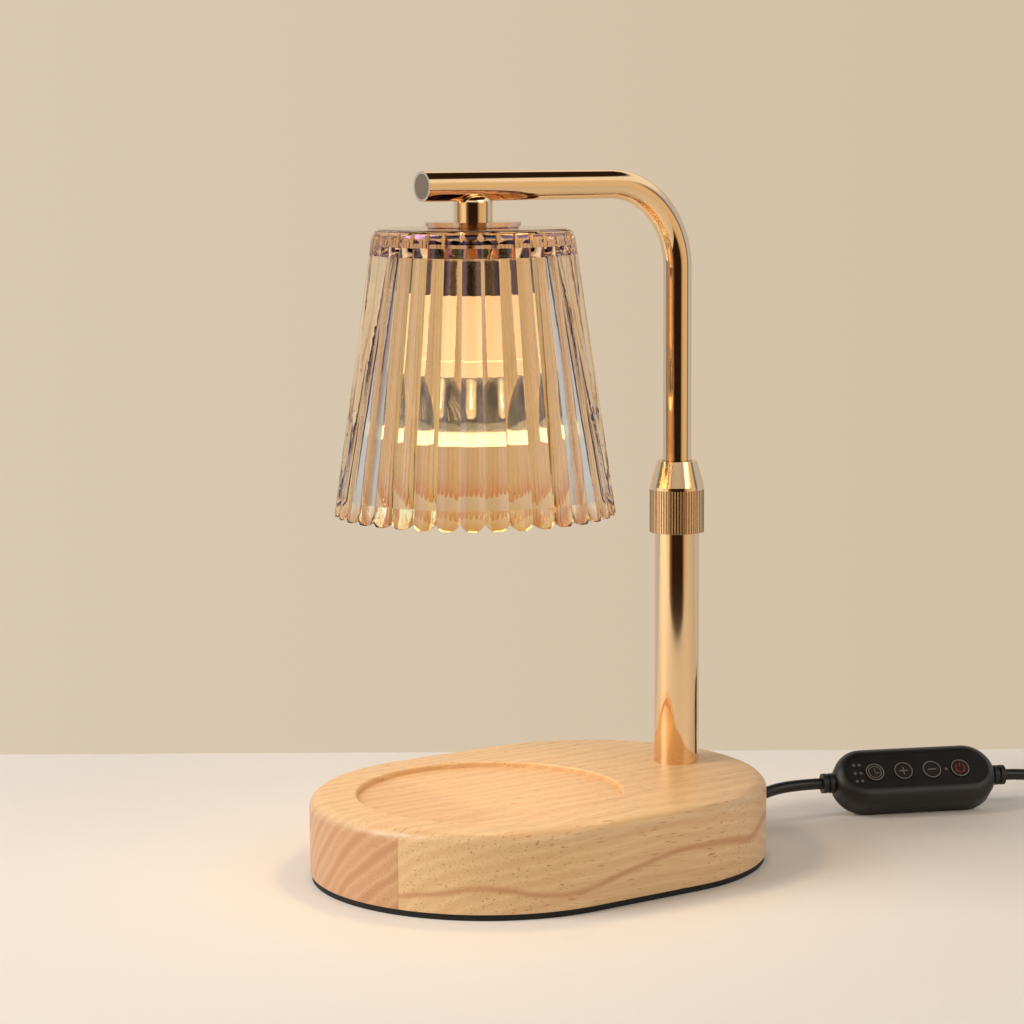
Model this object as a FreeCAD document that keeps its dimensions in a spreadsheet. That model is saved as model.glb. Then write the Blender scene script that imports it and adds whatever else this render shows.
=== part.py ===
import FreeCAD, Part
import math
import os
import re

import Sketcher
from FreeCAD import Placement, Rotation, Vector

# Candle warmer lamp: a wooden base, a telescopic plated pole with a gooseneck arm, a ribbed glass shade over a
# twist-lock halogen bulb, and a cord with an inline timer and dimmer.
# Frame: origin at the bottom centre of the base, +X towards the pole, +Z up. Every length is in millimetres.

SIZES = (
    # Base
    ("base_end_radius", 73.5, "radius of the base's round ends"),
    ("base_straight", 51.0, "length of the base's straight sides"),
    ("pad_thickness", 2.5, "thickness of the non-slip pad"),
    ("pad_inset", 0.6, "how far the pad stands in from the wood's side"),
    ("wood_thickness", 31.5, "thickness of the wooden base"),
    ("wood_round", 5.0, "rounding of the wood's top edge"),
    ("recess_radius", 54.5, "radius of the round recess in the top"),
    ("recess_depth", 2.4, "depth of that recess"),
    ("recess_lip_round", 0.8, "rounding of the recess's lip"),
    ("pole_offset", 45.7, "pole axis from the centre of the base's right-hand end"),
    ("cavity_radius", 19.5, "radius of the wiring cavity under the pole"),
    ("cavity_depth", 17.5, "depth of that cavity"),
    # Post fixing
    ("nipple_radius", 5.0, "outer radius of the hollow threaded rods"),
    ("nipple_bore", 3.6, "bore radius of the hollow threaded rods"),
    ("nut_across_flats", 17.0, "across flats of the hexagon nuts"),
    ("nut_thickness", 5.0, "thickness of the post's nut"),
    ("washer_radius", 11.0, "radius of the post's washer"),
    ("washer_thickness", 1.5, "thickness of that washer"),
    ("thread_proud", 1.5, "how far a threaded rod stands past its nut"),
    ("fixed_clearance", 0.05, "radial clearance of pieces that are pressed or screwed together"),
    ("slip_clearance", 0.08, "radial clearance of pieces that slide or turn"),
    ("loose_clearance", 0.3, "gap between pieces that pass each other freely"),
    ("foot_bush_height", 8.5, "height of the threaded bush in the foot of the pole"),
    # Pole
    ("lower_tube_radius", 9.5, "outer radius of the lower tube"),
    ("tube_wall", 1.0, "wall of both tubes"),
    ("lower_tube_length", 103.0, "length of the lower tube"),
    ("upper_tube_radius", 6.0, "outer radius of the upper tube"),
    ("arm_height", 245.5, "arm's centre line above the wood"),
    ("bend_radius", 35.0, "centre-line radius of the gooseneck's bend"),
    ("shade_reach", 102.8, "shade's axis from the pole's axis"),
    ("arm_overhang", 24.1, "arm's free end past the shade's axis"),
    ("end_cap_thickness", 3.0, "thickness of the arm's end cap"),
    # Clamp
    ("clamp_overlap", 4.0, "how far the clamp nut hides the lower tube's top"),
    ("sleeve_insert", 14.0, "length of the threaded sleeve inside the lower tube"),
    ("sleeve_thread_height", 13.0, "height of the sleeve's thread above the lower tube"),
    ("sleeve_thread_radius", 8.95, "radius of the sleeve's thread"),
    ("collet_height", 8.0, "height of the nylon collet"),
    ("collet_straight", 4.5, "height of the collet's straight part"),
    ("collet_radius", 8.0, "outer radius of the collet's straight part"),
    ("collet_tip_radius", 6.9, "outer radius of the collet's tip"),
    ("collet_slit", 1.0, "width of the collet's slits"),
    ("ring_radius", 8.6, "outer radius of the thrust ring"),
    ("ring_height", 5.3, "height of the thrust ring"),
    ("clamp_nut_radius", 11.5, "radius of the clamp nut over its ridges"),
    ("clamp_knurl_height", 19.5, "height of the clamp nut's ridged band"),
    ("clamp_nut_height", 30.3, "height of the whole clamp nut"),
    ("clamp_top_radius", 8.5, "radius of the clamp nut's top"),
    ("clamp_roof", 2.7, "thickness of the clamp nut's roof"),
    ("groove_radius", 0.42, "radius of each groove between the ridges"),
    ("groove_count", 60, "grooves round the clamp nut"),
    ("groove_end", 1.3, "plain band under the ridges' upper ends"),
    # Height stop
    ("travel_down", 50.0, "how far the arm can be pushed down from here"),
    ("travel_up", 20.0, "how far the arm can be pulled up from here"),
    ("stop_height", 7.0, "height of the stop sleeve"),
    ("clip_thickness", 1.0, "thickness of the two clips that hold the stop sleeve"),
    ("clip_radius", 7.4, "outer radius of those clips"),
    # Shade
    ("shade_height", 113.9, "height of the glass from its rim to its flat top"),
    ("shade_top_gap", 16.6, "arm's centre line above the flat top of the glass"),
    ("shade_rim_radius", 56.5, "radius of the glass over its ribs at the rim"),
    ("shade_shoulder_radius", 40.0, "radius of the glass over its ribs at the flat top's level"),
    ("shade_shoulder_round", 3.6, "rounding of the ribs' upper ends"),
    ("shade_roof", 7.3, "thickness of the glass's flat top"),
    ("shade_wall", 4.0, "wall of the glass from rib crest to its smooth inside"),
    ("rim_wall", 2.6, "wall of the glass at its rim"),
    ("rim_bevel_height", 7.3, "height of the bevel inside the rim"),
    ("rib_count", 36, "ribs round the glass"),
    ("rib_depth", 1.3, "depth of the valleys between the ribs"),
    ("scallop_height", 3.0, "height of the rim's scallops"),
    ("scallop_land", 0.25, "how much of each scallop's tip is ground flat"),
    ("boss_radius", 19.0, "radius of the disc on top of the glass"),
    ("boss_height", 2.5, "height of that disc"),
    ("boss_neck", 1.0, "height of the narrower neck under the disc"),
    ("boss_neck_radius", 18.2, "radius of that neck"),
    ("stem_radius", 7.85, "radius of the stem between the arm and the glass"),
    ("stem_round", 3.5, "rounding of the stem's top"),
    ("stem_rise", 10.6, "height of the stem above the glass"),
    ("gasket_radius", 15.0, "radius of the silicone gasket under the glass's top"),
    ("gasket_thickness", 1.0, "thickness of that gasket"),
    ("shade_nut_thickness", 4.5, "thickness of the nut that holds the glass"),
    # Lamp holder and bulb
    ("holder_radius", 13.1, "radius of the threaded metal holder"),
    ("holder_height", 13.6, "height of that holder"),
    ("holder_wall", 1.2, "wall of that holder"),
    ("holder_groove_count", 7, "thread grooves round the holder"),
    ("holder_groove_pitch", 1.6, "pitch of those grooves"),
    ("holder_groove_depth", 0.4, "depth of those grooves"),
    ("lock_nut_thickness", 3.0, "thickness of the lock nut in the holder"),
    ("lock_nut_across_flats", 14.0, "across flats of that lock nut"),
    ("socket_radius", 13.2, "radius of the ceramic socket"),
    ("socket_height", 25.6, "height of the ceramic socket under its holder"),
    ("socket_neck_height", 6.5, "height of the socket's neck inside the holder"),
    ("socket_bore", 11.0, "radius of the socket's mouth"),
    ("socket_bore_depth", 16.8, "depth of that mouth"),
    ("socket_chamber_radius", 9.3, "radius of the chamber above it"),
    ("socket_chamber_height", 5.5, "height of that chamber"),
    ("keyhole_plate_thickness", 1.5, "thickness of the slotted plate in the socket"),
    ("pin_offset", 5.0, "each bulb pin from the bulb's axis"),
    ("pin_radius", 1.5, "radius of a bulb pin's shank"),
    ("pin_head_radius", 2.5, "radius of a bulb pin's head"),
    ("pin_head_height", 2.6, "height of that head"),
    ("twist_angle", 25.0, "turn in degrees that frees the bulb"),
    ("contact_thickness", 0.5, "thickness of the socket's contact springs"),
    ("bulb_collar_radius", 13.0, "radius of the bulb's ceramic collar"),
    ("bulb_collar_height", 6.2, "height of that collar"),
    ("bulb_plug_radius", 10.6, "radius of the bulb's base in the socket"),
    ("bulb_rim_radius", 25.0, "radius of the bulb's face"),
    ("bulb_rim_height", 5.7, "height of the bulb's rim"),
    ("bulb_face_drop", 26.1, "bulb's face below its collar"),
    ("reflector_wall", 1.2, "wall of the bulb's glass reflector"),
    ("reflector_neck_radius", 9.5, "radius of the reflector's neck"),
    ("lens_thickness", 2.0, "thickness of the bulb's front lens"),
    ("capsule_radius", 4.6, "radius of the halogen capsule"),
    ("capsule_wall", 0.8, "wall of the capsule"),
    ("capsule_length", 24.0, "length of the capsule with its seal"),
    ("filament_radius", 0.9, "radius of the filament's coil"),
    ("filament_length", 5.0, "length of the filament's coil"),
    # Cord, plug and leads
    ("cord_dia", 5.0, "diameter of the cord"),
    ("cord_height", 10.5, "height of the cord where it leaves the base"),
    ("gland_radius", 4.0, "radius of the rubber gland"),
    ("gland_lip_radius", 5.2, "radius of the gland's lip"),
    ("gland_lip", 1.2, "thickness of that lip"),
    ("grip_length", 5.0, "length of the cord grip along the cord"),
    ("grip_width", 18.0, "width of the cord grip"),
    ("grip_drop", 12.5, "height of the cord grip"),
    ("grip_screw_radius", 1.4, "radius of the grip's screws"),
    ("grip_screw_offset", 6.2, "each screw from the cord's axis"),
    ("grip_screw_bite", 7.0, "how far those screws reach into the wood"),
    ("grip_head_radius", 2.6, "radius of those screws' heads"),
    ("grip_head_height", 1.8, "height of those heads"),
    ("lead_radius", 1.6, "radius of the lead inside the pole"),
    ("lead_foot", 4.5, "lead's lower end above the pad"),
    ("connector_radius", 3.0, "radius of the crimped connectors"),
    ("connector_length", 14.0, "length of those connectors"),
    ("conductor_radius", 0.9, "radius of the cord's two conductors"),
    ("coil_outer_radius", 40.0, "radius of the cord coil's outermost lower turn"),
    ("coil_pitch", 5.6, "spacing of the coil's turns"),
    ("coil_layer_rise", 5.5, "height of the coil's upper layer above its lower one"),
    ("coil_half_turns", 6, "half turns of the coil's lower layer"),
    ("coil_heading", -24.0, "heading in degrees of the cord where it meets the coil"),
    ("coil_start_x", 304.0, "where the coil starts, along X"),
    ("coil_start_y", -73.5, "where the coil starts, along Y"),
    ("plug_length", 32.0, "length of the plug's body"),
    ("plug_width", 26.0, "width of the plug's body"),
    ("plug_thickness", 15.0, "thickness of the plug's body"),
    ("plug_round", 4.0, "rounding of the plug's body"),
    ("blade_length", 17.5, "length of the plug's blades"),
    ("blade_width", 6.35, "width of the plug's blades"),
    ("blade_thickness", 1.5, "thickness of the plug's blades"),
    ("blade_spacing", 12.7, "spacing of the plug's blades"),
    ("blade_root", 6.0, "how far the blades are moulded into the plug"),
    ("plug_relief_length", 14.0, "length of the plug's strain relief"),
    ("plug_relief_radius", 5.2, "radius of that relief at the plug"),
    ("relief_tip_wall", 0.9, "wall of a strain relief at its tip"),
    # Inline switch
    ("switch_length", 74.7, "length of the inline switch"),
    ("switch_width", 28.0, "width of the inline switch"),
    ("switch_thickness", 16.0, "thickness of the inline switch"),
    ("switch_face_round", 6.0, "rounding round the switch's face"),
    ("switch_back_round", 4.0, "rounding round the switch's back"),
    ("switch_wall", 1.8, "wall of the switch's shells"),
    ("switch_roof", 1.3, "thickness of the face shell under the plate"),
    ("switch_seam", -2.5, "height of the seam between the shells, from the switch's middle"),
    ("switch_x", 187.95, "switch's middle along X"),
    ("switch_y", -22.2, "switch's middle along Y"),
    ("switch_heading", -23.8, "heading of the switch's length in degrees"),
    ("switch_lean", 47.8, "how far in degrees the switch leans onto its side"),
    ("plate_length", 66.0, "length of the switch's face plate"),
    ("plate_width", 15.4, "width of the switch's face plate"),
    ("plate_thickness", 0.7, "thickness of that plate"),
    ("button_radius", 4.4, "radius of a button's cap"),
    ("button_spacing", 13.2, "spacing of the four buttons"),
    ("button_proud", 0.3, "how far a cap stands out of the plate"),
    ("button_gap", 0.25, "gap round each cap"),
    ("button_flange", 0.7, "width and height of the flange that keeps a cap in"),
    ("button_travel", 0.4, "travel of a button"),
    ("board_thickness", 1.6, "thickness of the circuit board"),
    ("board_top", 1.0, "height of the board's top from the switch's middle"),
    ("light_radius", 0.7, "radius of an indicator's light pipe"),
    ("light_end_x", -28.8, "outer column of indicators along the switch"),
    ("light_column_gap", 2.6, "spacing of the two columns of indicators"),
    ("light_row_gap", 4.0, "spacing of the indicators' rows"),
    ("light_single_x", 13.4, "single indicator between the last two buttons"),
    ("switch_screw_offset", 9.6, "each case screw from the switch's middle line"),
    ("switch_screw_radius", 1.0, "radius of a case screw"),
    ("switch_boss_radius", 2.2, "radius of the bosses for those screws"),
    ("switch_relief_radius", 4.4, "radius of the collars where the cord enters the switch"),
    ("switch_relief_length", 5.0, "length of those collars"),
)

PLACES = (
    # Base and pole
    ("base_half", "base_straight / 2"),
    ("base_end_x", "base_half + base_end_radius"),
    ("recess_x", "-base_half"),
    ("pole_x", "base_half + pole_offset"),
    ("wood_top", "pad_thickness + wood_thickness"),
    ("cavity_top", "pad_thickness + cavity_depth"),
    ("washer_z", "cavity_top - washer_thickness"),
    ("post_nut_z", "washer_z - nut_thickness"),
    ("nipple_foot", "post_nut_z - thread_proud"),
    ("lower_tube_bore", "lower_tube_radius - tube_wall"),
    ("lower_tube_top", "wood_top + lower_tube_length"),
    ("upper_tube_bore", "upper_tube_radius - tube_wall"),
    ("arm_z", "wood_top + arm_height"),
    ("shade_x", "pole_x - shade_reach"),
    # Clamp
    ("clamp_z", "lower_tube_top - clamp_overlap"),
    ("sleeve_foot", "lower_tube_top - sleeve_insert"),
    ("sleeve_top", "lower_tube_top + sleeve_thread_height"),
    ("guide_bore", "upper_tube_radius + slip_clearance"),
    ("pass_bore", "upper_tube_radius + loose_clearance + fixed_clearance"),
    ("clamp_top", "clamp_z + clamp_nut_height"),
    ("ring_top", "clamp_top - clamp_roof - loose_clearance"),
    ("ring_foot", "ring_top - ring_height"),
    ("collet_top", "sleeve_top + collet_height"),
    ("stop_top", "sleeve_foot - travel_up - clip_thickness - loose_clearance"),
    ("stop_foot", "stop_top - stop_height"),
    ("tube_end", "stop_foot - clip_thickness - loose_clearance / 3"),
    # Shade
    ("shade_top", "arm_z - shade_top_gap"),
    ("shade_rim", "shade_top - shade_height"),
    ("shade_ceiling", "shade_top - shade_roof"),
    ("boss_top", "shade_top + boss_height"),
    ("stem_top", "boss_top + stem_rise"),
    ("gasket_z", "shade_ceiling - gasket_thickness"),
    ("shade_nut_z", "gasket_z - shade_nut_thickness"),
    ("holder_foot", "shade_nut_z - holder_height"),
    ("lock_nut_z", "shade_nut_z - holder_wall - lock_nut_thickness"),
    ("stud_foot", "lock_nut_z - thread_proud / 3"),
    ("stud_top", "arm_z - upper_tube_radius + 2 * tube_wall"),
    # Socket and bulb
    ("socket_foot", "holder_foot - socket_height"),
    ("socket_neck_top", "holder_foot + socket_neck_height"),
    ("socket_step", "socket_foot + socket_bore_depth"),
    ("chamber_top", "socket_step + socket_chamber_height"),
    ("collar_top", "socket_foot - loose_clearance"),
    ("collar_foot", "collar_top - bulb_collar_height"),
    ("plug_top", "socket_step - keyhole_plate_thickness - loose_clearance"),
    ("pin_head_z", "socket_step + loose_clearance"),
    ("bulb_face", "collar_foot - bulb_face_drop"),
    ("rim_top", "bulb_face + bulb_rim_height"),
    ("neck_top", "collar_foot + bulb_collar_height"),
    ("capsule_top", "neck_top + loose_clearance"),
    # Cord
    ("cord_radius", "cord_dia / 2"),
    ("cord_end_x", "pole_x + nipple_radius + thread_proud"),
    ("gland_start_x", "pole_x + cavity_radius - thread_proud"),
    ("grip_x", "pole_x + washer_radius + 2 * loose_clearance"),
    # Switch, in its own frame: length along X, face towards +Z
    ("switch_half", "switch_thickness / 2"),
    ("switch_centre", "switch_length / 2 - switch_width / 2"),
    ("cavity_half_width", "switch_width / 2 - switch_wall"),
    ("face_cavity_width", "cavity_half_width - switch_face_round / 2"),
    ("face_cavity_z", "switch_half - switch_face_round + 0.5 * plate_thickness"),
    ("plate_z", "switch_half - plate_thickness"),
    ("roof_z", "plate_z - switch_roof"),
    ("cap_foot", "roof_z - loose_clearance - button_flange"),
    ("board_z", "board_top - board_thickness"),
)

SIZE_NAMES = {alias for alias, value, meaning in SIZES}
PLACE_NAMES = {name for name, text in PLACES}

document = FreeCAD.newDocument("CandleWarmerLamp")
sheet = document.addObject("Spreadsheet::Sheet", "Sizes")
for row, (alias, value, meaning) in enumerate(SIZES, start=1):
    sheet.set(f"A{row}", meaning)
    sheet.set(f"B{row}", str(value))
    sheet.setAlias(f"B{row}", alias)
document.recompute()

places = document.addObject("App::VarSet", "Places")
probe = document.addObject("App::VarSet", "Probe")
probe.addProperty("App::PropertyFloat", "Value")


def full(text):
    """An expression with each size and place written under the object that holds it."""
    def owned(match):
        word = match.group(0)
        if word in SIZE_NAMES:
            return "Sizes." + word
        if word in PLACE_NAMES:
            return "Places." + word
        return word
    return re.sub(r"[a-z_]+", owned, text)


def number(text):
    """The value of an expression now."""
    probe.setExpression("Value", full(text))
    probe.recompute()
    return probe.Value


for name, text in PLACES:
    places.addProperty("App::PropertyFloat", name)
    places.setExpression(name, full(text))
document.recompute()

NODES = {}


def keep(label, thing):
    """Make a finished object one of the lamp's pieces."""
    thing.Label = label
    NODES[label] = thing
    return thing


def bind(thing, **settings):
    for name, text in settings.items():
        thing.setExpression(name, full(text))
    return thing


def put(thing, x="0", y="0", z="0"):
    """Bind an object's place to expressions."""
    thing.setExpression("Placement.Base.x", full(x))
    thing.setExpression("Placement.Base.y", full(y))
    thing.setExpression("Placement.Base.z", full(z))
    return thing


# Part primitives

def rod(radius, height, x="0", y="0", z="0", axis=None, angle=None):
    thing = document.addObject("Part::Cylinder", "Rod")
    bind(thing, Radius=radius, Height=height)
    if angle:
        bind(thing, Angle=angle)
    if axis == "x":
        thing.Placement.Rotation = Rotation(Vector(0, 1, 0), 90)
    if axis == "y":
        thing.Placement.Rotation = Rotation(Vector(1, 0, 0), -90)
    return put(thing, x, y, z)


def block(length, width, height, x="0", y="0", z="0"):
    """A box centred on x and y that stands on z."""
    thing = document.addObject("Part::Box", "Block")
    bind(thing, Length=length, Width=width, Height=height)
    return put(thing, f"{x} - ({length}) / 2", f"{y} - ({width}) / 2", z)


def cone(low, high, height, x="0", y="0", z="0"):
    thing = document.addObject("Part::Cone", "Cone")
    bind(thing, Radius1=low, Radius2=high, Height=height)
    return put(thing, x, y, z)


def ball(radius, x="0", y="0", z="0"):
    thing = document.addObject("Part::Sphere", "Ball")
    bind(thing, Radius=radius)
    return put(thing, x, y, z)


def fuse(*things):
    thing = document.addObject("Part::MultiFuse", "Joined")
    thing.Shapes = list(things)
    return thing


def cut(base, *tools):
    thing = document.addObject("Part::Cut", "Cut")
    thing.Base = base
    thing.Tool = tools[0] if len(tools) == 1 else fuse(*tools)
    return thing


def group(*things):
    """Separate solids that share one node."""
    thing = document.addObject("Part::Compound", "Group")
    thing.Links = list(things)
    return thing


def ring(outer, inner, height, x="0", z="0", y="0"):
    return cut(rod(outer, height, x, y, z), rod(inner, height, x, y, z))


def hexagon_nut(across_flats, bore, thickness, x, z):
    prism = document.addObject("Part::Prism", "Hexagon")
    prism.Polygon = 6
    bind(prism, Circumradius=f"{across_flats} / sqrt(3)", Height=thickness)
    put(prism, x, "0", z)
    return cut(prism, rod(bore, thickness, x, "0", z))


# PartDesign bodies

def new_body(name):
    return document.addObject("PartDesign::Body", name)


def new_sketch(body, plane, offset="0"):
    sketch = body.newObject("Sketcher::SketchObject", "Sketch")
    support = [item for item in body.Origin.OriginFeatures if item.Role == plane][0]
    sketch.AttachmentSupport = [(support, "")]
    sketch.MapMode = "FlatFace"
    sketch.setExpression("AttachmentOffset.Base.z", full(offset))
    return sketch


def hold(sketch, kind, geometry, point, text):
    """Hold a sketch's point at a distance from the sketch's origin."""
    value = number(text)
    if abs(value) < 1e-9:
        axis = -2 if kind == "DistanceX" else -1
        sketch.addConstraint(Sketcher.Constraint("PointOnObject", geometry, point, axis))
        return
    index = sketch.addConstraint(Sketcher.Constraint(kind, -1, 1, geometry, point, value))
    sketch.setExpression(f"Constraints[{index}]", full(text))


def draw_outline(sketch, outline):
    """A closed outline of straight lines through corners given as pairs of expressions."""
    corners = [Vector(number(across), number(up), 0) for across, up in outline]
    count = len(corners)
    for index in range(count):
        sketch.addGeometry(Part.LineSegment(corners[index], corners[(index + 1) % count]))
    for index in range(count):
        sketch.addConstraint(Sketcher.Constraint("Coincident", index, 2, (index + 1) % count, 1))
    for index, (across, up) in enumerate(outline):
        hold(sketch, "DistanceX", index, 1, across)
        hold(sketch, "DistanceY", index, 1, up)


def draw_circle(sketch, radius, x="0", y="0"):
    centre = Vector(number(x), number(y), 0)
    index = sketch.addGeometry(Part.Circle(centre, Vector(0, 0, 1), number(radius)))
    hold(sketch, "DistanceX", index, 3, x)
    hold(sketch, "DistanceY", index, 3, y)
    size = sketch.addConstraint(Sketcher.Constraint("Radius", index, number(radius)))
    sketch.setExpression(f"Constraints[{size}]", full(radius))


def draw_stadium(sketch, half_straight, radius):
    """Two round ends joined by two straight sides, centred on the sketch's origin."""
    half = number(half_straight)
    end = number(radius)
    right = Part.Circle(Vector(half, 0, 0), Vector(0, 0, 1), end)
    left = Part.Circle(Vector(-half, 0, 0), Vector(0, 0, 1), end)
    sketch.addGeometry(Part.ArcOfCircle(right, -math.pi / 2, math.pi / 2))
    sketch.addGeometry(Part.ArcOfCircle(left, math.pi / 2, 3 * math.pi / 2))
    sketch.addGeometry(Part.LineSegment(Vector(half, end, 0), Vector(-half, end, 0)))
    sketch.addGeometry(Part.LineSegment(Vector(-half, -end, 0), Vector(half, -end, 0)))
    for first, first_point, second, second_point in ((0, 2, 2, 1), (2, 2, 1, 1), (1, 2, 3, 1), (3, 2, 0, 1)):
        sketch.addConstraint(Sketcher.Constraint("Tangent", first, first_point, second, second_point))
    hold(sketch, "DistanceX", 0, 3, half_straight)
    sketch.addConstraint(Sketcher.Constraint("PointOnObject", 0, 3, -1))
    hold(sketch, "DistanceX", 1, 3, f"-({half_straight})")
    sketch.addConstraint(Sketcher.Constraint("PointOnObject", 1, 3, -1))
    size = sketch.addConstraint(Sketcher.Constraint("Radius", 0, end))
    sketch.setExpression(f"Constraints[{size}]", full(radius))


def pad(body, sketch, length):
    feature = body.newObject("PartDesign::Pad", "Pad")
    feature.Profile = sketch
    bind(feature, Length=length)
    document.recompute()
    return feature


def pocket(body, sketch, length=None, reverse=False):
    """Cut a sketch into the body by a length, or right through; stops if nothing is cut away."""
    before = body.Shape.Volume
    feature = body.newObject("PartDesign::Pocket", "Pocket")
    feature.Profile = sketch
    feature.Reversed = reverse
    if length:
        bind(feature, Length=length)
    else:
        feature.Type = "ThroughAll"
    document.recompute()
    if not body.Shape.Volume < before:
        raise RuntimeError(f"a pocket in {body.Name} cuts nothing")
    return feature


def round_edges(body, radius, wanted):
    """Fillet the edges of the body's last feature that a test picks."""
    tip = body.Tip
    names = [f"Edge{index}" for index, edge in enumerate(tip.Shape.Edges, start=1) if wanted(edge)]
    feature = body.newObject("PartDesign::Fillet", "Fillet")
    feature.Base = (tip, names)
    bind(feature, Radius=radius)
    document.recompute()
    return feature


def level(height):
    """A test for edges that lie flat at a height."""
    def wanted(edge):
        box = edge.BoundBox
        return abs(box.ZMin - height) < 1e-4 and abs(box.ZMax - height) < 1e-4
    return wanted


def turned(name, outline, x="0", z="0"):
    """A body turned about its own Z axis; the outline's corners are radius and height."""
    body = new_body(name)
    sketch = new_sketch(body, "XZ_Plane")
    draw_outline(sketch, outline)
    feature = body.newObject("PartDesign::Revolution", "Turn")
    feature.Profile = sketch
    feature.ReferenceAxis = (sketch, ["V_Axis"])
    feature.Angle = 360
    put(body, x, "0", z)
    document.recompute()
    return body


# Swept tubes

def tube_path(points):
    """Straight runs joined by tangent arcs as large as the runs allow; returns the wire and least radius."""
    edges = []
    start = points[0]
    least = float("inf")
    for before, corner, after in zip(points, points[1:], points[2:]):
        inward = corner - before
        outward = after - corner
        half_turn = inward.getAngle(outward) / 2
        setback = 0.45 * min(inward.Length, outward.Length)
        radius = setback / math.tan(half_turn)
        least = min(least, radius)
        first = corner - Vector(inward).normalize() * setback
        last = corner + Vector(outward).normalize() * setback
        chord_middle = (first + last) / 2
        rise = radius * (1 - math.cos(half_turn))
        middle = chord_middle + (corner - chord_middle).normalize() * rise
        edges.append(Part.LineSegment(start, first).toShape())
        edges.append(Part.Arc(first, middle, last).toShape())
        start = last
    edges.append(Part.LineSegment(start, points[-1]).toShape())
    return Part.Wire(edges), least


def sweep(wire, radius, name):
    """A round tube along a wire, with its volume compared with its section times its length."""
    start = wire.Edges[0].valueAt(wire.Edges[0].FirstParameter)
    heading = wire.Edges[0].tangentAt(wire.Edges[0].FirstParameter)
    profile = Part.Wire([Part.makeCircle(radius, start, heading)])
    solid = wire.makePipeShell([profile], True, False)
    ratio = solid.Volume / (math.pi * radius ** 2 * wire.Length)
    print(f"{name}: length {wire.Length:.1f}, volume over section times length {ratio:.4f}")
    if abs(ratio - 1) > 0.01:
        raise RuntimeError(f"{name} has the wrong volume")
    return solid


def plain_feature(label, shape):
    thing = document.addObject("Part::Feature", label)
    thing.Shape = shape
    return keep(label, thing)


def routed_tube(label, points, radius):
    wire, least = tube_path(points)
    print(f"{label}: least radius {least:.1f}")
    return plain_feature(label, sweep(wire, radius, label))


# Base

def make_wood_base():
    body = new_body("WoodBase")
    outline = new_sketch(body, "XY_Plane")
    draw_stadium(outline, "base_half", "base_end_radius")
    pad(body, outline, "wood_thickness")
    round_edges(body, "wood_round", level(number("wood_thickness")))
    recess = new_sketch(body, "XY_Plane", "wood_thickness")
    draw_circle(recess, "recess_radius", "recess_x")
    pocket(body, recess, "recess_depth")
    lip_level = level(number("wood_thickness"))
    lip_radius = number("recess_radius")
    round_edges(body, "recess_lip_round", lambda edge: lip_level(edge) and hasattr(edge.Curve, "Radius")
                and abs(edge.Curve.Radius - lip_radius) < 1e-4)
    cavity = new_sketch(body, "XY_Plane")
    draw_circle(cavity, "cavity_radius", "pole_x")
    pocket(body, cavity, "cavity_depth", reverse=True)
    post_hole = new_sketch(body, "XY_Plane", "wood_thickness")
    draw_circle(post_hole, "nipple_radius + loose_clearance", "pole_x")
    pocket(body, post_hole)
    cord_hole = new_sketch(body, "YZ_Plane", "pole_x")
    draw_circle(cord_hole, "gland_radius + fixed_clearance", "0", "cord_height - pad_thickness")
    pocket(body, cord_hole, reverse=True)
    for side in ("-", ""):
        pilot = new_sketch(body, "XY_Plane")
        draw_circle(pilot, "grip_screw_radius + fixed_clearance", "grip_x + grip_length / 2",
                    f"{side}grip_screw_offset")
        pocket(body, pilot, "cavity_depth + grip_screw_bite + loose_clearance", reverse=True)
    put(body, z="pad_thickness")
    keep("wood_base", body)


def make_base_pad():
    body = new_body("BasePad")
    outline = new_sketch(body, "XY_Plane")
    draw_stadium(outline, "base_half", "base_end_radius - pad_inset")
    pad(body, outline, "pad_thickness")
    keep("base_pad", body)


# Post

def make_post():
    screwed = "nipple_radius + fixed_clearance"
    keep("post_nipple", ring("nipple_radius", "nipple_bore",
                             "wood_top + foot_bush_height - thread_proud - nipple_foot",
                             "pole_x", "nipple_foot"))
    keep("post_washer", ring("washer_radius", screwed, "washer_thickness", "pole_x", "washer_z"))
    keep("post_nut", hexagon_nut("nut_across_flats", screwed, "nut_thickness", "pole_x", "post_nut_z"))
    keep("foot_bush", ring("lower_tube_bore - fixed_clearance", screwed, "foot_bush_height", "pole_x",
                           "wood_top"))
    keep("lower_tube", ring("lower_tube_radius", "lower_tube_bore", "lower_tube_length", "pole_x", "wood_top"))


def make_clamp_sleeve():
    shank = "lower_tube_bore - fixed_clearance"
    keep("clamp_sleeve", turned("ClampSleeve", (
        ("guide_bore", "sleeve_foot"), (shank, "sleeve_foot"), (shank, "lower_tube_top"),
        ("sleeve_thread_radius", "lower_tube_top"), ("sleeve_thread_radius", "sleeve_top"),
        ("guide_bore", "sleeve_top")), "pole_x"))


def make_collet():
    blank = turned("ColletBlank", (
        ("guide_bore", "sleeve_top"), ("collet_radius", "sleeve_top"),
        ("collet_radius", "sleeve_top + collet_straight"), ("collet_tip_radius", "collet_top"),
        ("guide_bore", "collet_top")), "pole_x")
    slits_foot = "sleeve_top + collet_straight / 2"
    across = block("2 * lower_tube_radius", "collet_slit", "collet_height", "pole_x", "0", slits_foot)
    along = block("collet_slit", "2 * lower_tube_radius", "collet_height", "pole_x", "0", slits_foot)
    keep("collet", cut(blank, across, along))


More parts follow.
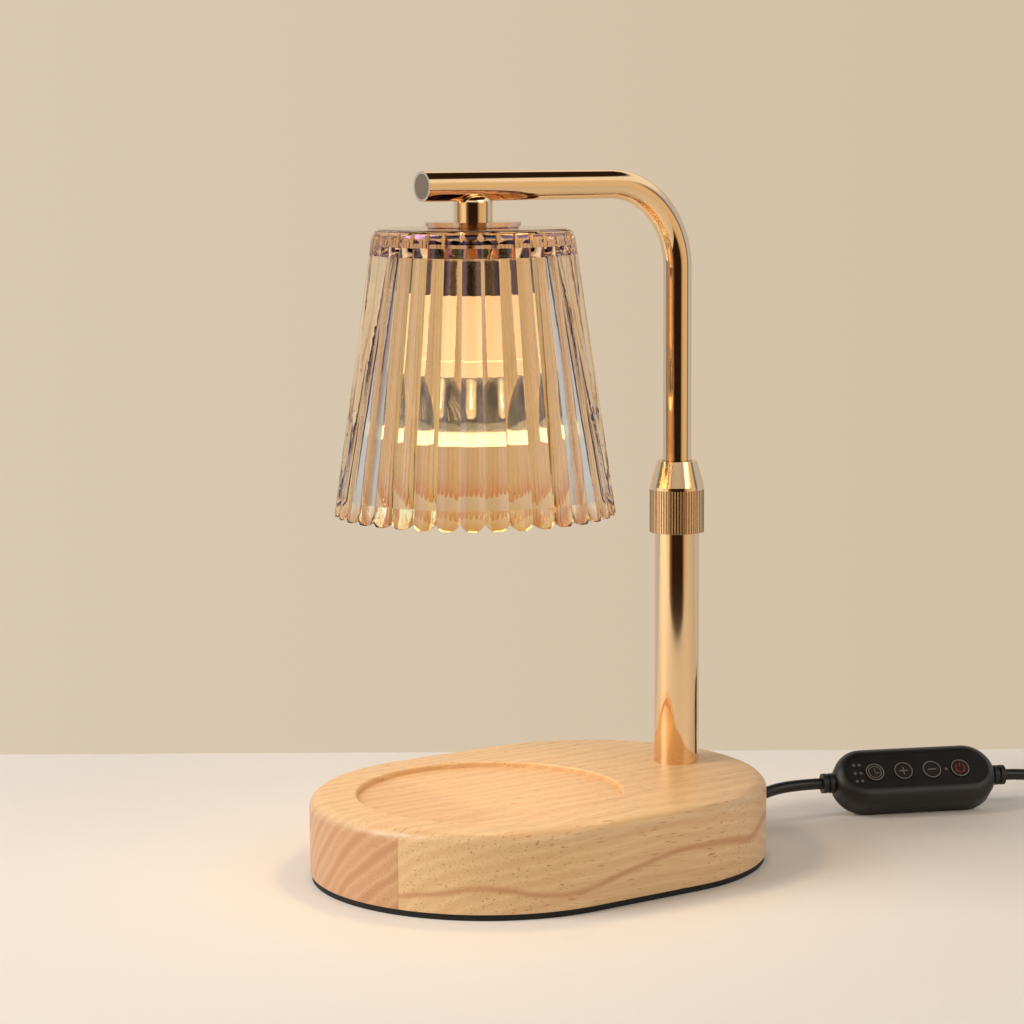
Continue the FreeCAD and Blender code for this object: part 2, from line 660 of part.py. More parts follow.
def make_thrust_ring():
    seat = "collet_top + loose_clearance"
    keep("thrust_ring", turned("ThrustRing", (
        ("pass_bore", "ring_top"), ("pass_bore", seat), ("collet_tip_radius + 0.7 * loose_clearance", seat),
        ("collet_radius + 0.5 * loose_clearance", "ring_foot"), ("ring_radius", "ring_foot"),
        ("ring_radius", "ring_top")), "pole_x"))


def make_clamp_nut():
    thread = "sleeve_thread_radius + slip_clearance"
    mouth = "lower_tube_radius + loose_clearance"
    step = "lower_tube_top + thread_proud"
    body = turned("ClampNut", (
        (mouth, "clamp_z"), ("clamp_nut_radius", "clamp_z"),
        ("clamp_nut_radius", "clamp_z + clamp_knurl_height"),
        ("clamp_top_radius", "clamp_top"), ("pass_bore", "clamp_top"), ("pass_bore", "clamp_top - clamp_roof"),
        (thread, "clamp_top - clamp_roof"), (thread, step), (mouth, step)), "pole_x")
    groove = new_sketch(body, "XY_Plane", "clamp_z + clamp_knurl_height - groove_end")
    draw_circle(groove, "groove_radius", "clamp_nut_radius")
    cutter = pocket(body, groove, "clamp_knurl_height")
    pattern = body.newObject("PartDesign::PolarPattern", "Ridges")
    pattern.Originals = [cutter]
    pattern.Axis = ([item for item in body.Origin.OriginFeatures if item.Role == "Z_Axis"][0], [""])
    pattern.Angle = 360
    bind(pattern, Occurrences="groove_count")
    body.Tip = pattern
    document.recompute()
    keep("clamp_nut", body)


# Arm

def make_upper_tube():
    body = new_body("UpperTube")
    spine = new_sketch(body, "XZ_Plane")
    foot = number("tube_end")
    height = number("arm_z")
    bend = number("bend_radius")
    reach = number("shade_reach + arm_overhang")
    centre = Vector(-bend, height - bend, 0)
    spine.addGeometry(Part.LineSegment(Vector(0, foot, 0), Vector(0, height - bend, 0)))
    spine.addGeometry(Part.ArcOfCircle(Part.Circle(centre, Vector(0, 0, 1), bend), 0, math.pi / 2))
    spine.addGeometry(Part.LineSegment(Vector(-bend, height, 0), Vector(-reach, height, 0)))
    spine.addConstraint(Sketcher.Constraint("PointOnObject", 0, 1, -2))
    spine.addConstraint(Sketcher.Constraint("Vertical", 0))
    spine.addConstraint(Sketcher.Constraint("Tangent", 0, 2, 1, 1))
    spine.addConstraint(Sketcher.Constraint("Tangent", 1, 2, 2, 1))
    spine.addConstraint(Sketcher.Constraint("Horizontal", 2))
    hold(spine, "DistanceY", 0, 1, "tube_end")
    hold(spine, "DistanceX", 2, 2, "-(shade_reach + arm_overhang)")
    hold(spine, "DistanceY", 2, 2, "arm_z")
    size = spine.addConstraint(Sketcher.Constraint("Radius", 1, bend))
    spine.setExpression(f"Constraints[{size}]", full("bend_radius"))
    section = new_sketch(body, "XY_Plane", "tube_end")
    draw_circle(section, "upper_tube_radius")
    draw_circle(section, "upper_tube_bore")
    pipe = body.newObject("PartDesign::AdditivePipe", "Pipe")
    pipe.Profile = section
    pipe.Spine = spine
    document.recompute()
    stud_hole = new_sketch(body, "XY_Plane", "arm_z")
    draw_circle(stud_hole, "nipple_radius + fixed_clearance", "-shade_reach")
    pocket(body, stud_hole, "2 * upper_tube_radius")
    put(body, "pole_x")
    keep("upper_tube", body)


def make_arm_fittings():
    cap_radius = "upper_tube_bore - fixed_clearance"
    keep("arm_end_cap", rod(cap_radius, "end_cap_thickness", "shade_x - arm_overhang", "0", "arm_z", axis="x"))
    turning_bore = "upper_tube_radius + slip_clearance"
    keep("stop_sleeve", ring("lower_tube_bore - slip_clearance", turning_bore, "stop_height", "pole_x",
                             "stop_foot"))
    screwed = "upper_tube_radius + fixed_clearance"
    keep("stop_clips", group(
        ring("clip_radius", screwed, "clip_thickness", "pole_x", "stop_top + loose_clearance / 3"),
        ring("clip_radius", screwed, "clip_thickness", "pole_x", "tube_end")))
    stem = new_body("StemBlank")
    outline = new_sketch(stem, "XY_Plane")
    draw_circle(outline, "stem_radius")
    pad(stem, outline, "stem_rise")
    round_edges(stem, "stem_round", level(number("stem_rise")))
    put(stem, "shade_x", "0", "boss_top")
    saddle = rod("upper_tube_radius + fixed_clearance", "4 * stem_radius", "shade_x - 2 * stem_radius", "0",
                 "arm_z",
                 axis="x")
    thread = rod("nipple_radius + fixed_clearance", "stem_rise", "shade_x", "0", "boss_top")
    keep("shade_stem", cut(stem, saddle, thread))
    keep("stem_stud", ring("nipple_radius", "nipple_bore", "stud_top - stud_foot", "shade_x", "stud_foot"))


# Shade

def ribbed_wire(crest_radius, height):
    """A closed wire of outward arcs, one for each rib, with its first valley on +X."""
    count = round(number("rib_count"))
    valley_radius = crest_radius - number("rib_depth")
    step = 2 * math.pi / count

    def at(radius, angle):
        return Vector(radius * math.cos(angle), radius * math.sin(angle), height)

    arcs = []
    for index in range(count):
        start = index * step
        middle = at(crest_radius, start + step / 2)
        arc = Part.Arc(at(valley_radius, start), middle, at(valley_radius, start + step))
        arcs.append(arc.toShape())
    return Part.Wire(arcs)


def turned_solid(outline):
    """A solid turned about Z from corners of radius and height."""
    corners = [Vector(radius, 0, height) for radius, height in outline]
    face = Part.Face(Part.makePolygon(corners + corners[:1]))
    return face.revolve(Vector(0, 0, 0), Vector(0, 0, 1), 360)


def scallop_notch(rim, crest_radius):
    """The piece cut away between two scallops, in the plane across the valley on +X, drawn out along X."""
    half_pitch = math.pi * crest_radius / number("rib_count")
    height = number("scallop_height")
    radius = (half_pitch ** 2 + height ** 2) / (2 * height)
    centre_height = rim - number("scallop_land") + radius
    low = rim - height
    foot_offset = half_pitch - 0.1 * radius
    inner = crest_radius - 4 * height

    def on_scallop(side, offset):
        rise = math.sqrt(radius ** 2 - (half_pitch - offset) ** 2)
        return Vector(inner, side * offset, centre_height - rise)

    edges = [
        Part.Arc(on_scallop(-1, foot_offset), on_scallop(-1, foot_offset / 2), on_scallop(-1, 0)).toShape(),
        Part.Arc(on_scallop(1, 0), on_scallop(1, foot_offset / 2), on_scallop(1, foot_offset)).toShape(),
    ]
    right = Vector(inner, foot_offset, low)
    left = Vector(inner, -foot_offset, low)
    edges.append(Part.LineSegment(on_scallop(1, foot_offset), right).toShape())
    edges.append(Part.LineSegment(right, left).toShape())
    edges.append(Part.LineSegment(left, on_scallop(-1, foot_offset)).toShape())
    return Part.Face(Part.Wire(edges)).extrude(Vector(8 * height, 0, 0))


def make_glass_shade():
    rim = number("shade_rim")
    top = number("shade_top")
    crest = number("shade_rim_radius")
    shoulder = number("shade_shoulder_radius")
    rounding = number("shade_shoulder_round")
    ceiling = number("shade_ceiling")
    ribbed = Part.makeLoft([ribbed_wire(crest, rim), ribbed_wire(shoulder, top)], True, True)
    corner = math.sqrt(0.5) * rounding
    middle = Vector(shoulder - rounding + corner, 0, top - rounding + corner)
    arc = Part.Arc(Vector(shoulder, 0, top - rounding), middle, Vector(shoulder - rounding, 0, top))
    widest = 2 * crest
    outline = [Vector(shoulder - rounding, 0, top), Vector(0, 0, top), Vector(0, 0, rim),
               Vector(widest, 0, rim), Vector(widest, 0, top - rounding), Vector(shoulder, 0, top - rounding)]
    lines = [Part.LineSegment(one, two).toShape() for one, two in zip(outline, outline[1:])]
    envelope = Part.Face(Part.Wire([arc.toShape()] + lines)).revolve(Vector(0, 0, 0), Vector(0, 0, 1), 360)
    solid = ribbed.common(envelope)
    bevel_top = rim + number("rim_bevel_height")
    slope = (crest - shoulder) / (top - rim)
    wall = number("shade_wall")
    inside_bevel = crest - slope * (bevel_top - rim) - wall
    inside_top = crest - slope * (ceiling - rim) - wall
    cavity = turned_solid(((0, rim), (crest - number("rim_wall"), rim), (inside_bevel, bevel_top),
                           (inside_top, ceiling - rounding), (inside_top - rounding, ceiling), (0, ceiling)))
    stud_hole = Part.makeCylinder(number("nipple_radius + loose_clearance"), number("boss_top") - rim,
                                  Vector(0, 0, rim))
    neck = Part.makeCylinder(number("boss_neck_radius"), number("boss_neck"), Vector(0, 0, top))
    disc = Part.makeCylinder(number("boss_radius"), number("boss_height - boss_neck"),
                             Vector(0, 0, top + number("boss_neck")))
    solid = solid.fuse([neck, disc]).cut([cavity, stud_hole])
    notch = scallop_notch(rim, crest)
    count = round(number("rib_count"))
    notches = []
    for index in range(count):
        copy = notch.copy()
        copy.rotate(Vector(0, 0, 0), Vector(0, 0, 1), 360 * index / count)
        notches.append(copy)
    solid = solid.cut(notches).removeSplitter()
    thing = plain_feature("glass_shade", solid)
    thing.Placement = Placement(Vector(number("shade_x"), 0, 0), Rotation())


def make_shade_fixing():
    screwed = "nipple_radius + fixed_clearance"
    keep("shade_gasket", ring("gasket_radius", screwed, "gasket_thickness", "shade_x", "gasket_z"))
    keep("shade_nut", hexagon_nut("nut_across_flats", screwed, "shade_nut_thickness", "shade_x", "shade_nut_z"))
    inside = "holder_radius - holder_wall"
    roof = "shade_nut_z - holder_wall"
    shell = turned("HolderShell", (
        (screwed, "shade_nut_z"), ("holder_radius", "shade_nut_z"), ("holder_radius", "holder_foot"),
        (inside, "holder_foot"), (inside, roof), (screwed, roof)), "shade_x")
    grooves = []
    for index in range(round(number("holder_groove_count"))):
        height = f"holder_foot + {index + 1} * holder_groove_pitch"
        grooves.append(ring("holder_radius + loose_clearance", "holder_radius - holder_groove_depth",
                            "holder_groove_pitch / 2", "shade_x", height))
    keep("holder_shell", cut(shell, *grooves))
    keep("lock_nut", hexagon_nut("lock_nut_across_flats", screwed, "lock_nut_thickness", "shade_x",
                                 "lock_nut_z"))


# Lamp socket and bulb

def make_socket():
    neck = "holder_radius - holder_wall - loose_clearance"
    keep("lamp_socket", turned("LampSocket", (
        ("0", "chamber_top"), ("socket_chamber_radius", "chamber_top"),
        ("socket_chamber_radius", "socket_step"), ("socket_bore", "socket_step"),
        ("socket_bore", "socket_foot"), ("socket_radius", "socket_foot"),
        ("socket_radius", "holder_foot"), (neck, "holder_foot"),
        (neck, "socket_neck_top"), ("0", "socket_neck_top")), "shade_x"))
    plate_foot = "socket_step - keyhole_plate_thickness"
    disc = rod("socket_bore - fixed_clearance", "keyhole_plate_thickness", "shade_x", "0", plate_foot)
    slot_half = "pin_radius + slip_clearance + fixed_clearance"
    cutters = []
    for turn in (0, 180):
        outer = rod(f"pin_offset + {slot_half}", "keyhole_plate_thickness", "shade_x", "0", plate_foot,
                    angle="twist_angle")
        inner = rod(f"pin_offset - ({slot_half})", "keyhole_plate_thickness", "shade_x", "0", plate_foot)
        slot = cut(outer, inner)
        narrow = rod(slot_half, "keyhole_plate_thickness", "shade_x + pin_offset", "0", plate_foot)
        wide = rod("pin_head_radius + loose_clearance", "keyhole_plate_thickness",
                   "shade_x + pin_offset * cos(twist_angle * 1 deg)", "pin_offset * sin(twist_angle * 1 deg)",
                   plate_foot)
        keyhole = group(slot, narrow, wide)
        axis = Placement(Vector(0, 0, 0), Rotation(Vector(0, 0, 1), turn), Vector(number("shade_x"), 0, 0))
        keyhole.Placement = axis
        cutters.append(keyhole)
    keep("keyhole_plate", cut(disc, *cutters))
    contacts = []
    contact_z = "pin_head_z + pin_head_height + loose_clearance"
    for side in ("-", "+"):
        place = f"shade_x {side} pin_offset"
        leaf = block("pin_offset", "2 * pin_offset", "contact_thickness", place, "0", contact_z)
        post = rod("pin_radius", f"chamber_top - ({contact_z})", place, "0", contact_z)
        contacts.append(fuse(leaf, post))
    keep("socket_contacts", group(*contacts))


def make_bulb():
    plug_gap = "reflector_neck_radius + loose_clearance"
    keep("bulb_base", turned("BulbBase", (
        (plug_gap, "collar_foot"), ("bulb_collar_radius", "collar_foot"), ("bulb_collar_radius", "collar_top"),
        ("bulb_plug_radius", "collar_top"), ("bulb_plug_radius", "plug_top"), ("0", "plug_top"),
        ("0", "capsule_top + loose_clearance"), (plug_gap, "capsule_top + loose_clearance")), "shade_x"))
    pins = []
    for side in ("-", "+"):
        place = f"shade_x {side} pin_offset"
        shank = rod("pin_radius", "pin_head_z - plug_top", place, "0", "plug_top")
        head = rod("pin_head_radius", "pin_head_height", place, "0", "pin_head_z")
        pins.append(fuse(shank, head))
    keep("bulb_pins", group(*pins))
    narrowing = "sqrt(1 - (reflector_neck_radius / (bulb_rim_radius - loose_clearance)) ^ 2)"
    bowl_height = f"(collar_foot - rim_top) / {narrowing}"
    bowl = document.addObject("Part::Ellipsoid", "Bowl")
    bind(bowl, Radius1=bowl_height, Radius2="bulb_rim_radius - loose_clearance")
    bowl.Angle1 = 0
    put(bowl, "shade_x", "0", "rim_top")
    hollow = document.addObject("Part::Ellipsoid", "Hollow")
    bind(hollow, Radius1=f"{bowl_height} - 2 * reflector_wall",
         Radius2="bulb_rim_radius - loose_clearance - reflector_wall")
    hollow.Angle1 = 0
    put(hollow, "shade_x", "0", "rim_top")
    rim = rod("bulb_rim_radius", "bulb_rim_height", "shade_x", "0", "bulb_face")
    rim_bore = rod("bulb_rim_radius - loose_clearance - reflector_wall", "bulb_rim_height", "shade_x", "0",
                   "bulb_face")
    neck = rod("reflector_neck_radius", "bulb_collar_height + loose_clearance", "shade_x", "0",
               "neck_top - bulb_collar_height")
    neck_bore = rod("capsule_radius + loose_clearance", "neck_top - rim_top + bulb_collar_height", "shade_x",
                    "0",
                    "rim_top")
    keep("bulb_reflector", cut(fuse(bowl, rim, neck), hollow, rim_bore, neck_bore))
    keep("bulb_lens", rod("bulb_rim_radius - reflector_wall - 2 * loose_clearance", "lens_thickness",
                          "shade_x", "0",
                          "bulb_face"))
    seal_height = "bulb_collar_height"
    glass_foot = "capsule_top - capsule_length + capsule_radius"
    seal_foot = f"capsule_top - {seal_height}"
    envelope = rod("capsule_radius", f"{seal_foot} - ({glass_foot})", "shade_x", "0", glass_foot)
    tip = ball("capsule_radius", "shade_x", "0", glass_foot)
    seal = block("2 * capsule_radius - 4 * loose_clearance", "capsule_radius / 2", seal_height, "shade_x",
                 "0", seal_foot)
    inner = "capsule_radius - capsule_wall"
    void = rod(inner, f"{seal_foot} - ({glass_foot}) - capsule_wall", "shade_x", "0", glass_foot)
    void_tip = ball(inner, "shade_x", "0", glass_foot)
    keep("bulb_capsule", cut(fuse(envelope, tip, seal), fuse(void, void_tip)))
    leg_top = f"{seal_foot} - capsule_wall"
    coil = rod("filament_radius", "filament_length", "shade_x", "0", glass_foot)
    leg = rod("filament_radius / 3", f"{leg_top} - ({glass_foot})", "shade_x", "0", glass_foot)
    keep("bulb_filament", fuse(coil, leg))


# Leads inside the pole and the base

def make_leads():
    keep("pole_lead", rod("lead_radius", "tube_end - pad_thickness - lead_foot", "pole_x", "0",
                          "pad_thickness + lead_foot"))
    height = number("arm_z")
    pole = number("pole_x")
    bend = number("bend_radius")
    shade = number("shade_x")
    turn = number("upper_tube_radius")
    foot = Vector(pole, 0, number("tube_end"))
    corner_top = Vector(pole, 0, height - bend)
    corner_middle = Vector(pole - bend + bend * math.cos(math.pi / 4), 0,
                           height - bend + bend * math.sin(math.pi / 4))
    corner_left = Vector(pole - bend, 0, height)
    over_stem = Vector(shade + turn, 0, height)
    turn_middle = Vector(shade + turn - turn * math.sin(math.pi / 4), 0,
                         height - turn + turn * math.cos(math.pi / 4))
    in_stem = Vector(shade, 0, height - turn)
    end = Vector(shade, 0, number("socket_neck_top"))
    wire = Part.Wire([
        Part.LineSegment(foot, corner_top).toShape(),
        Part.Arc(corner_top, corner_middle, corner_left).toShape(),
        Part.LineSegment(corner_left, over_stem).toShape(),
        Part.Arc(over_stem, turn_middle, in_stem).toShape(),
        Part.LineSegment(in_stem, end).toShape(),
    ])
    plain_feature("arm_lead", sweep(wire, number("lead_radius"), "arm_lead"))
    connectors = []
    offset = "lead_radius + connector_radius + loose_clearance"
    start = "pole_x - connector_length / 2"
    rise = "pad_thickness + connector_radius + loose_clearance"
    for side in ("-", ""):
        connectors.append(rod("connector_radius", "connector_length", start, f"{side}({offset})", rise,
                              axis="x"))
    conductors = []
    for side in (-1, 1):
        cord_end = Vector(number("cord_end_x"), side * number("conductor_radius + loose_clearance / 3"),
                          number("cord_height - conductor_radius"))
        joint = Vector(number("pole_x + connector_length / 2"), side * number(offset), number(rise))
        run = joint - cord_end
        gap = number("loose_clearance + conductor_radius")
        start_point = cord_end + Vector(run).normalize() * gap
        conductors.append(Part.makeCylinder(number("conductor_radius"), run.Length - 2 * gap, start_point, run))
    wires = document.addObject("Part::Feature", "Conductors")
    wires.Shape = Part.makeCompound(conductors)
    keep("wire_connectors", group(*connectors, wires))


def make_cord_exit():
    reach = "base_end_x + gland_lip - cord_end_x"
    keep("cord_inside", rod("cord_radius", reach, "cord_end_x", "0", "cord_height", axis="x"))
    sleeve = rod("gland_radius", "base_end_x - gland_start_x", "gland_start_x", "0", "cord_height", axis="x")
    lip = rod("gland_lip_radius", "gland_lip", "base_end_x", "0", "cord_height", axis="x")
    hole = rod("cord_radius + fixed_clearance", "base_end_x + gland_lip - gland_start_x", "gland_start_x", "0",
               "cord_height", axis="x")
    keep("cord_gland", cut(fuse(sleeve, lip), hole))
    middle = "grip_x + grip_length / 2"
    foot = "cavity_top - grip_drop"
    body = block("grip_length", "grip_width", "grip_drop", middle, "0", foot)
    tools = [rod("cord_radius + fixed_clearance", "grip_length", "grip_x", "0", "cord_height", axis="x")]
    screws = []
    for side in ("-", ""):
        place = f"{side}grip_screw_offset"
        tools.append(rod("grip_screw_radius + fixed_clearance", "grip_drop", middle, place, foot))
        shank = rod("grip_screw_radius", "grip_drop + grip_screw_bite", middle, place, foot)
        head = rod("grip_head_radius", "grip_head_height", middle, place, f"{foot} - grip_head_height")
        screws.append(fuse(shank, head))
    keep("cord_grip", cut(body, *tools))
    keep("grip_screws", group(*screws))


# Inline switch, drawn about its own middle and then laid on its side

def lay_switch(thing):
    """Move a piece from the switch's own frame to where the switch lies."""
    heading = Rotation(Vector(0, 0, 1), number("switch_heading"))
    lean = Rotation(Vector(1, 0, 0), number("switch_lean"))
    sine = math.sin(math.radians(number("switch_lean")))
    cosine = math.cos(math.radians(number("switch_lean")))
    rounding = number("switch_back_round")
    height = (number("switch_width / 2") - rounding) * sine + (number("switch_half") - rounding) * cosine + rounding
    place = Placement(Vector(number("switch_x"), number("switch_y"), height), heading * lean)
    thing.Placement = place.multiply(thing.Placement)
    return thing


def stadium_pad(name, half_straight, radius, height, z):
    body = new_body(name)
    outline = new_sketch(body, "XY_Plane")
    draw_stadium(outline, half_straight, radius)
    pad(body, outline, height)
    put(body, z=z)
    return body


def switch_shape():
    """The outside of the whole switch."""
    body = stadium_pad("SwitchOutside", "switch_centre", "switch_width / 2", "switch_thickness", "-switch_half")
    round_edges(body, "switch_face_round", level(number("switch_thickness")))
    round_edges(body, "switch_back_round", level(0))
    return body


def button_places():
    return [f"{step} * button_spacing" for step in ("-1.5", "-0.5", "0.5", "1.5")]


def light_places():
    places_found = []
    for row in ("-1", "0", "1"):
        for column in ("0", "1"):
            places_found.append((f"light_end_x + {column} * light_column_gap", f"{row} * light_row_gap"))
    places_found.append(("light_single_x", "0"))
    return places_found


def make_switch_shells():
    face_height = "switch_half - (switch_seam)"
    face_blank = block("2 * switch_length", "2 * switch_width", face_height, "0", "0", "switch_seam")
    back_blank = block("2 * switch_length", "2 * switch_width", "switch_half + switch_seam", "0", "0",
                       "-switch_half")
    cavity_z = "-switch_half + switch_wall"
    wide_height = f"face_cavity_z - ({cavity_z})"
    wide = stadium_pad("WideCavity", "switch_centre", "cavity_half_width", wide_height, cavity_z)
    narrow = stadium_pad("FaceCavity", "switch_centre", "face_cavity_width", "roof_z - face_cavity_z",
                         "face_cavity_z")
    plate_seat = stadium_pad("PlateSeat", "plate_length / 2 - plate_width / 2",
                             "plate_width / 2 + fixed_clearance",
                             "plate_thickness", "plate_z")
    cord_ways = rod("cord_radius + fixed_clearance", "2 * switch_length", "-switch_length", "0", "0", axis="x")
    holes = [rod("button_radius + button_gap", "2 * switch_half", x, "0", "0") for x in button_places()]
    lights = [rod("light_radius + slip_clearance", "2 * switch_half", x, y, "0") for x, y in light_places()]
    bosses = []
    boss_bores = []
    posts = []
    screws = []
    for side in ("-", ""):
        place = f"{side}switch_screw_offset"
        bosses.append(rod("switch_boss_radius", "roof_z - (switch_seam)", "0", place, "switch_seam"))
        boss_bores.append(rod("switch_screw_radius + fixed_clearance", "switch_half", "0", place,
                              "switch_seam"))
        posts.append(rod("switch_boss_radius", "switch_seam + switch_half - switch_wall / 2", "0", place,
                         "-switch_half + switch_wall / 2"))
        screws.append(fuse(rod("switch_screw_radius", "switch_half", "0", place, "-switch_half + switch_wall"),
                           rod("2 * switch_screw_radius", "switch_wall / 2", "0", place,
                               "-switch_half + switch_wall / 2")))
    face = cut(cut(switch_shape(), back_blank), wide, narrow, plate_seat, cord_ways, *holes, *lights)
    keep("switch_face_shell", lay_switch(cut(fuse(face, *bosses), *boss_bores)))
    counterbores = [rod("2 * switch_screw_radius + fixed_clearance", "switch_wall", "0",
                        f"{side}switch_screw_offset", "-switch_half") for side in ("-", "")]
    shank_holes = [rod("switch_screw_radius + fixed_clearance", "switch_half", "0",
                       f"{side}switch_screw_offset",
                       "-switch_half + switch_wall / 2") for side in ("-", "")]
    stands = []
    for x in ("-switch_centre", "switch_centre"):
        for y in ("-switch_width / 4", "switch_width / 4"):
            stands.append(rod("switch_wall", "board_z + switch_half - switch_wall / 2", x, y,
                              "-switch_half + switch_wall / 2"))
    wide_again = stadium_pad("WideCavityBack", "switch_centre", "cavity_half_width", wide_height, cavity_z)
    cord_ways_again = rod("cord_radius + fixed_clearance", "2 * switch_length", "-switch_length", "0", "0",
                          axis="x")
    back = cut(cut(switch_shape(), face_blank), wide_again, cord_ways_again)
    keep("switch_back_shell", lay_switch(cut(fuse(back, *stands, *posts), *counterbores, *shank_holes)))
    keep("switch_screws", lay_switch(group(*screws)))


def make_switch_face():
    plate = stadium_pad("FacePlate", "plate_length / 2 - plate_width / 2", "plate_width / 2", "plate_thickness",
                        "plate_z")
    holes = [rod("button_radius + button_gap", "switch_half", x, "0", "plate_z - plate_thickness")
             for x in button_places()]
    lights = [rod("light_radius + slip_clearance", "switch_half", x, y, "plate_z - plate_thickness")
              for x, y in light_places()]
    keep("switch_plate", lay_switch(cut(plate, *holes, *lights)))
    for label, x in zip(("timer_button", "plus_button", "minus_button", "power_button"), button_places()):
        cap = rod("button_radius", "switch_half + button_proud - cap_foot", x, "0", "cap_foot")
        flange = rod("button_radius + button_flange", "button_flange", x, "0", "cap_foot")
        keep(label, lay_switch(fuse(cap, flange)))


def make_switch_inside():
    board = stadium_pad("Board", "switch_centre", "cavity_half_width - loose_clearance", "board_thickness",
                        "board_z")
    notches = [rod("switch_boss_radius + loose_clearance", "board_thickness", "0", f"{side}switch_screw_offset",
                   "board_z") for side in ("-", "")]
    ends = [block("2 * cord_dia", "cord_dia + 2 * loose_clearance", "board_thickness",
                  f"{side}(switch_length / 2 - switch_wall)", "0", "board_z") for side in ("-", "")]
    keep("switch_board", lay_switch(cut(board, *notches, *ends)))
    button_room = "cap_foot - button_travel - loose_clearance / 3 - board_top"
    bodies = [block("button_radius", "button_radius", f"{button_room} - button_flange", x, "0", "board_top")
              for x in button_places()]
    plungers = [rod("button_radius / 3", "button_flange", x, "0", f"board_top + {button_room} - button_flange")
                for x in button_places()]
    keep("tact_switches", lay_switch(group(*[fuse(one, two) for one, two in zip(bodies, plungers)])))
    pipes = [rod("light_radius", "switch_half - loose_clearance / 3 - board_top", x, y, "board_top")
             for x, y in light_places()]
    keep("indicator_lights", lay_switch(group(*pipes)))
    below = "-switch_half + switch_wall + loose_clearance"
    room = f"board_z - ({below})"
    capacitor = rod(f"({room}) / 2 - loose_clearance", "button_spacing", "-button_spacing - button_radius", "0",
                    f"{below} + ({room}) / 2", axis="x")
    triac = block("button_spacing / 1.5", "button_spacing / 1.5", f"{room} - loose_clearance / 3",
                  "button_spacing", "0", f"{below} + loose_clearance / 3")
    keep("dimmer_parts", lay_switch(group(capacitor, triac)))


def make_switch_collars():
    for label, side in (("switch_collar_near", -1), ("switch_collar_far", 1)):
        start = "switch_length / 2" if side > 0 else "-switch_length / 2 - switch_relief_length"
        blank = rod("switch_relief_radius", "switch_relief_length", start, "0", "0", axis="x")
        hole = rod("cord_radius + fixed_clearance", "switch_relief_length", start, "0", "0", axis="x")
        waist_start = f"{start} + switch_relief_length / 2.5"
        waist = cut(rod("2 * switch_relief_radius", "switch_relief_length / 5", waist_start, "0", "0",
                        axis="x"),
                    rod("0.8 * switch_relief_radius", "switch_relief_length / 5", waist_start, "0", "0",
                        axis="x"))
        keep(label, lay_switch(cut(blank, hole, waist)))
    inner = "switch_length / 2 - switch_wall - cord_dia"
    stub = "switch_wall + cord_dia + switch_relief_length"
    near = rod("cord_radius", stub, "-switch_length / 2 - switch_relief_length", "0", "0", axis="x")
    far = rod("cord_radius", stub, inner, "0", "0", axis="x")
    keep("cord_in_switch", lay_switch(group(near, far)))


# Free cord: its points are chosen by hand, in order from the base to the plug

LAMP_SIDE_ROUTE = ((100.2, 0.0, 10.5), (110.5, 0.0, 10.5), (126.0, 1.6, 13.4), (140.6, -1.3, 14.1),
                   (149.2, -5.1, 14.1))
PLUG_SIDE_ROUTE = ((226.8, -39.3, 14.1), (241.0, -45.6, 13.9), (257.0, -52.7, 8.0), (275.0, -60.7, 2.5),
                   (299.4, -71.5, 2.5))
TAIL_ROUTE = ((306.3, -80.6, 8.0), (321.0, -87.1, 8.0), (348.0, -94.0, 7.6), (376.0, -84.0, 7.0),
              (387.0, -62.0, 7.5), (388.0, -42.0, 7.5))


def vectors(points):
    return [Vector(*point) for point in points]


def arc_between(start, heading, end):
    """The arc that leaves start along heading and reaches end, and its heading there."""
    chord = end - start
    across = chord - heading * chord.dot(heading)
    if across.Length < 1e-6:
        return Part.LineSegment(start, end), Vector(heading)
    side = Vector(across).normalize()
    radius = chord.Length ** 2 / (2 * chord.dot(side))
    turn = 2 * math.atan2(chord.dot(side), chord.dot(heading))
    middle = start + heading * radius * math.sin(turn / 2) + side * radius * (1 - math.cos(turn / 2))
    return Part.Arc(start, middle, end), heading * math.cos(turn) + side * math.sin(turn)


def biarc(start, first_heading, end, last_heading):
    """Two arcs that meet smoothly and join two points with the headings given."""
    chord = end - start
    both = first_heading + last_heading
    quad = 2 * (1 - first_heading.dot(last_heading))
    linear = 2 * chord.dot(both)
    reach = chord.dot(chord)
    if abs(quad) < 1e-9:
        length = reach / linear
    else:
        length = (-linear + math.sqrt(linear ** 2 + 4 * quad * reach)) / (2 * quad)
    joint = (start + first_heading * length + end - last_heading * length) / 2
    first, joint_heading = arc_between(start, first_heading, joint)
    second, end_heading = arc_between(joint, joint_heading, end)
    return [first.toShape(), second.toShape()]


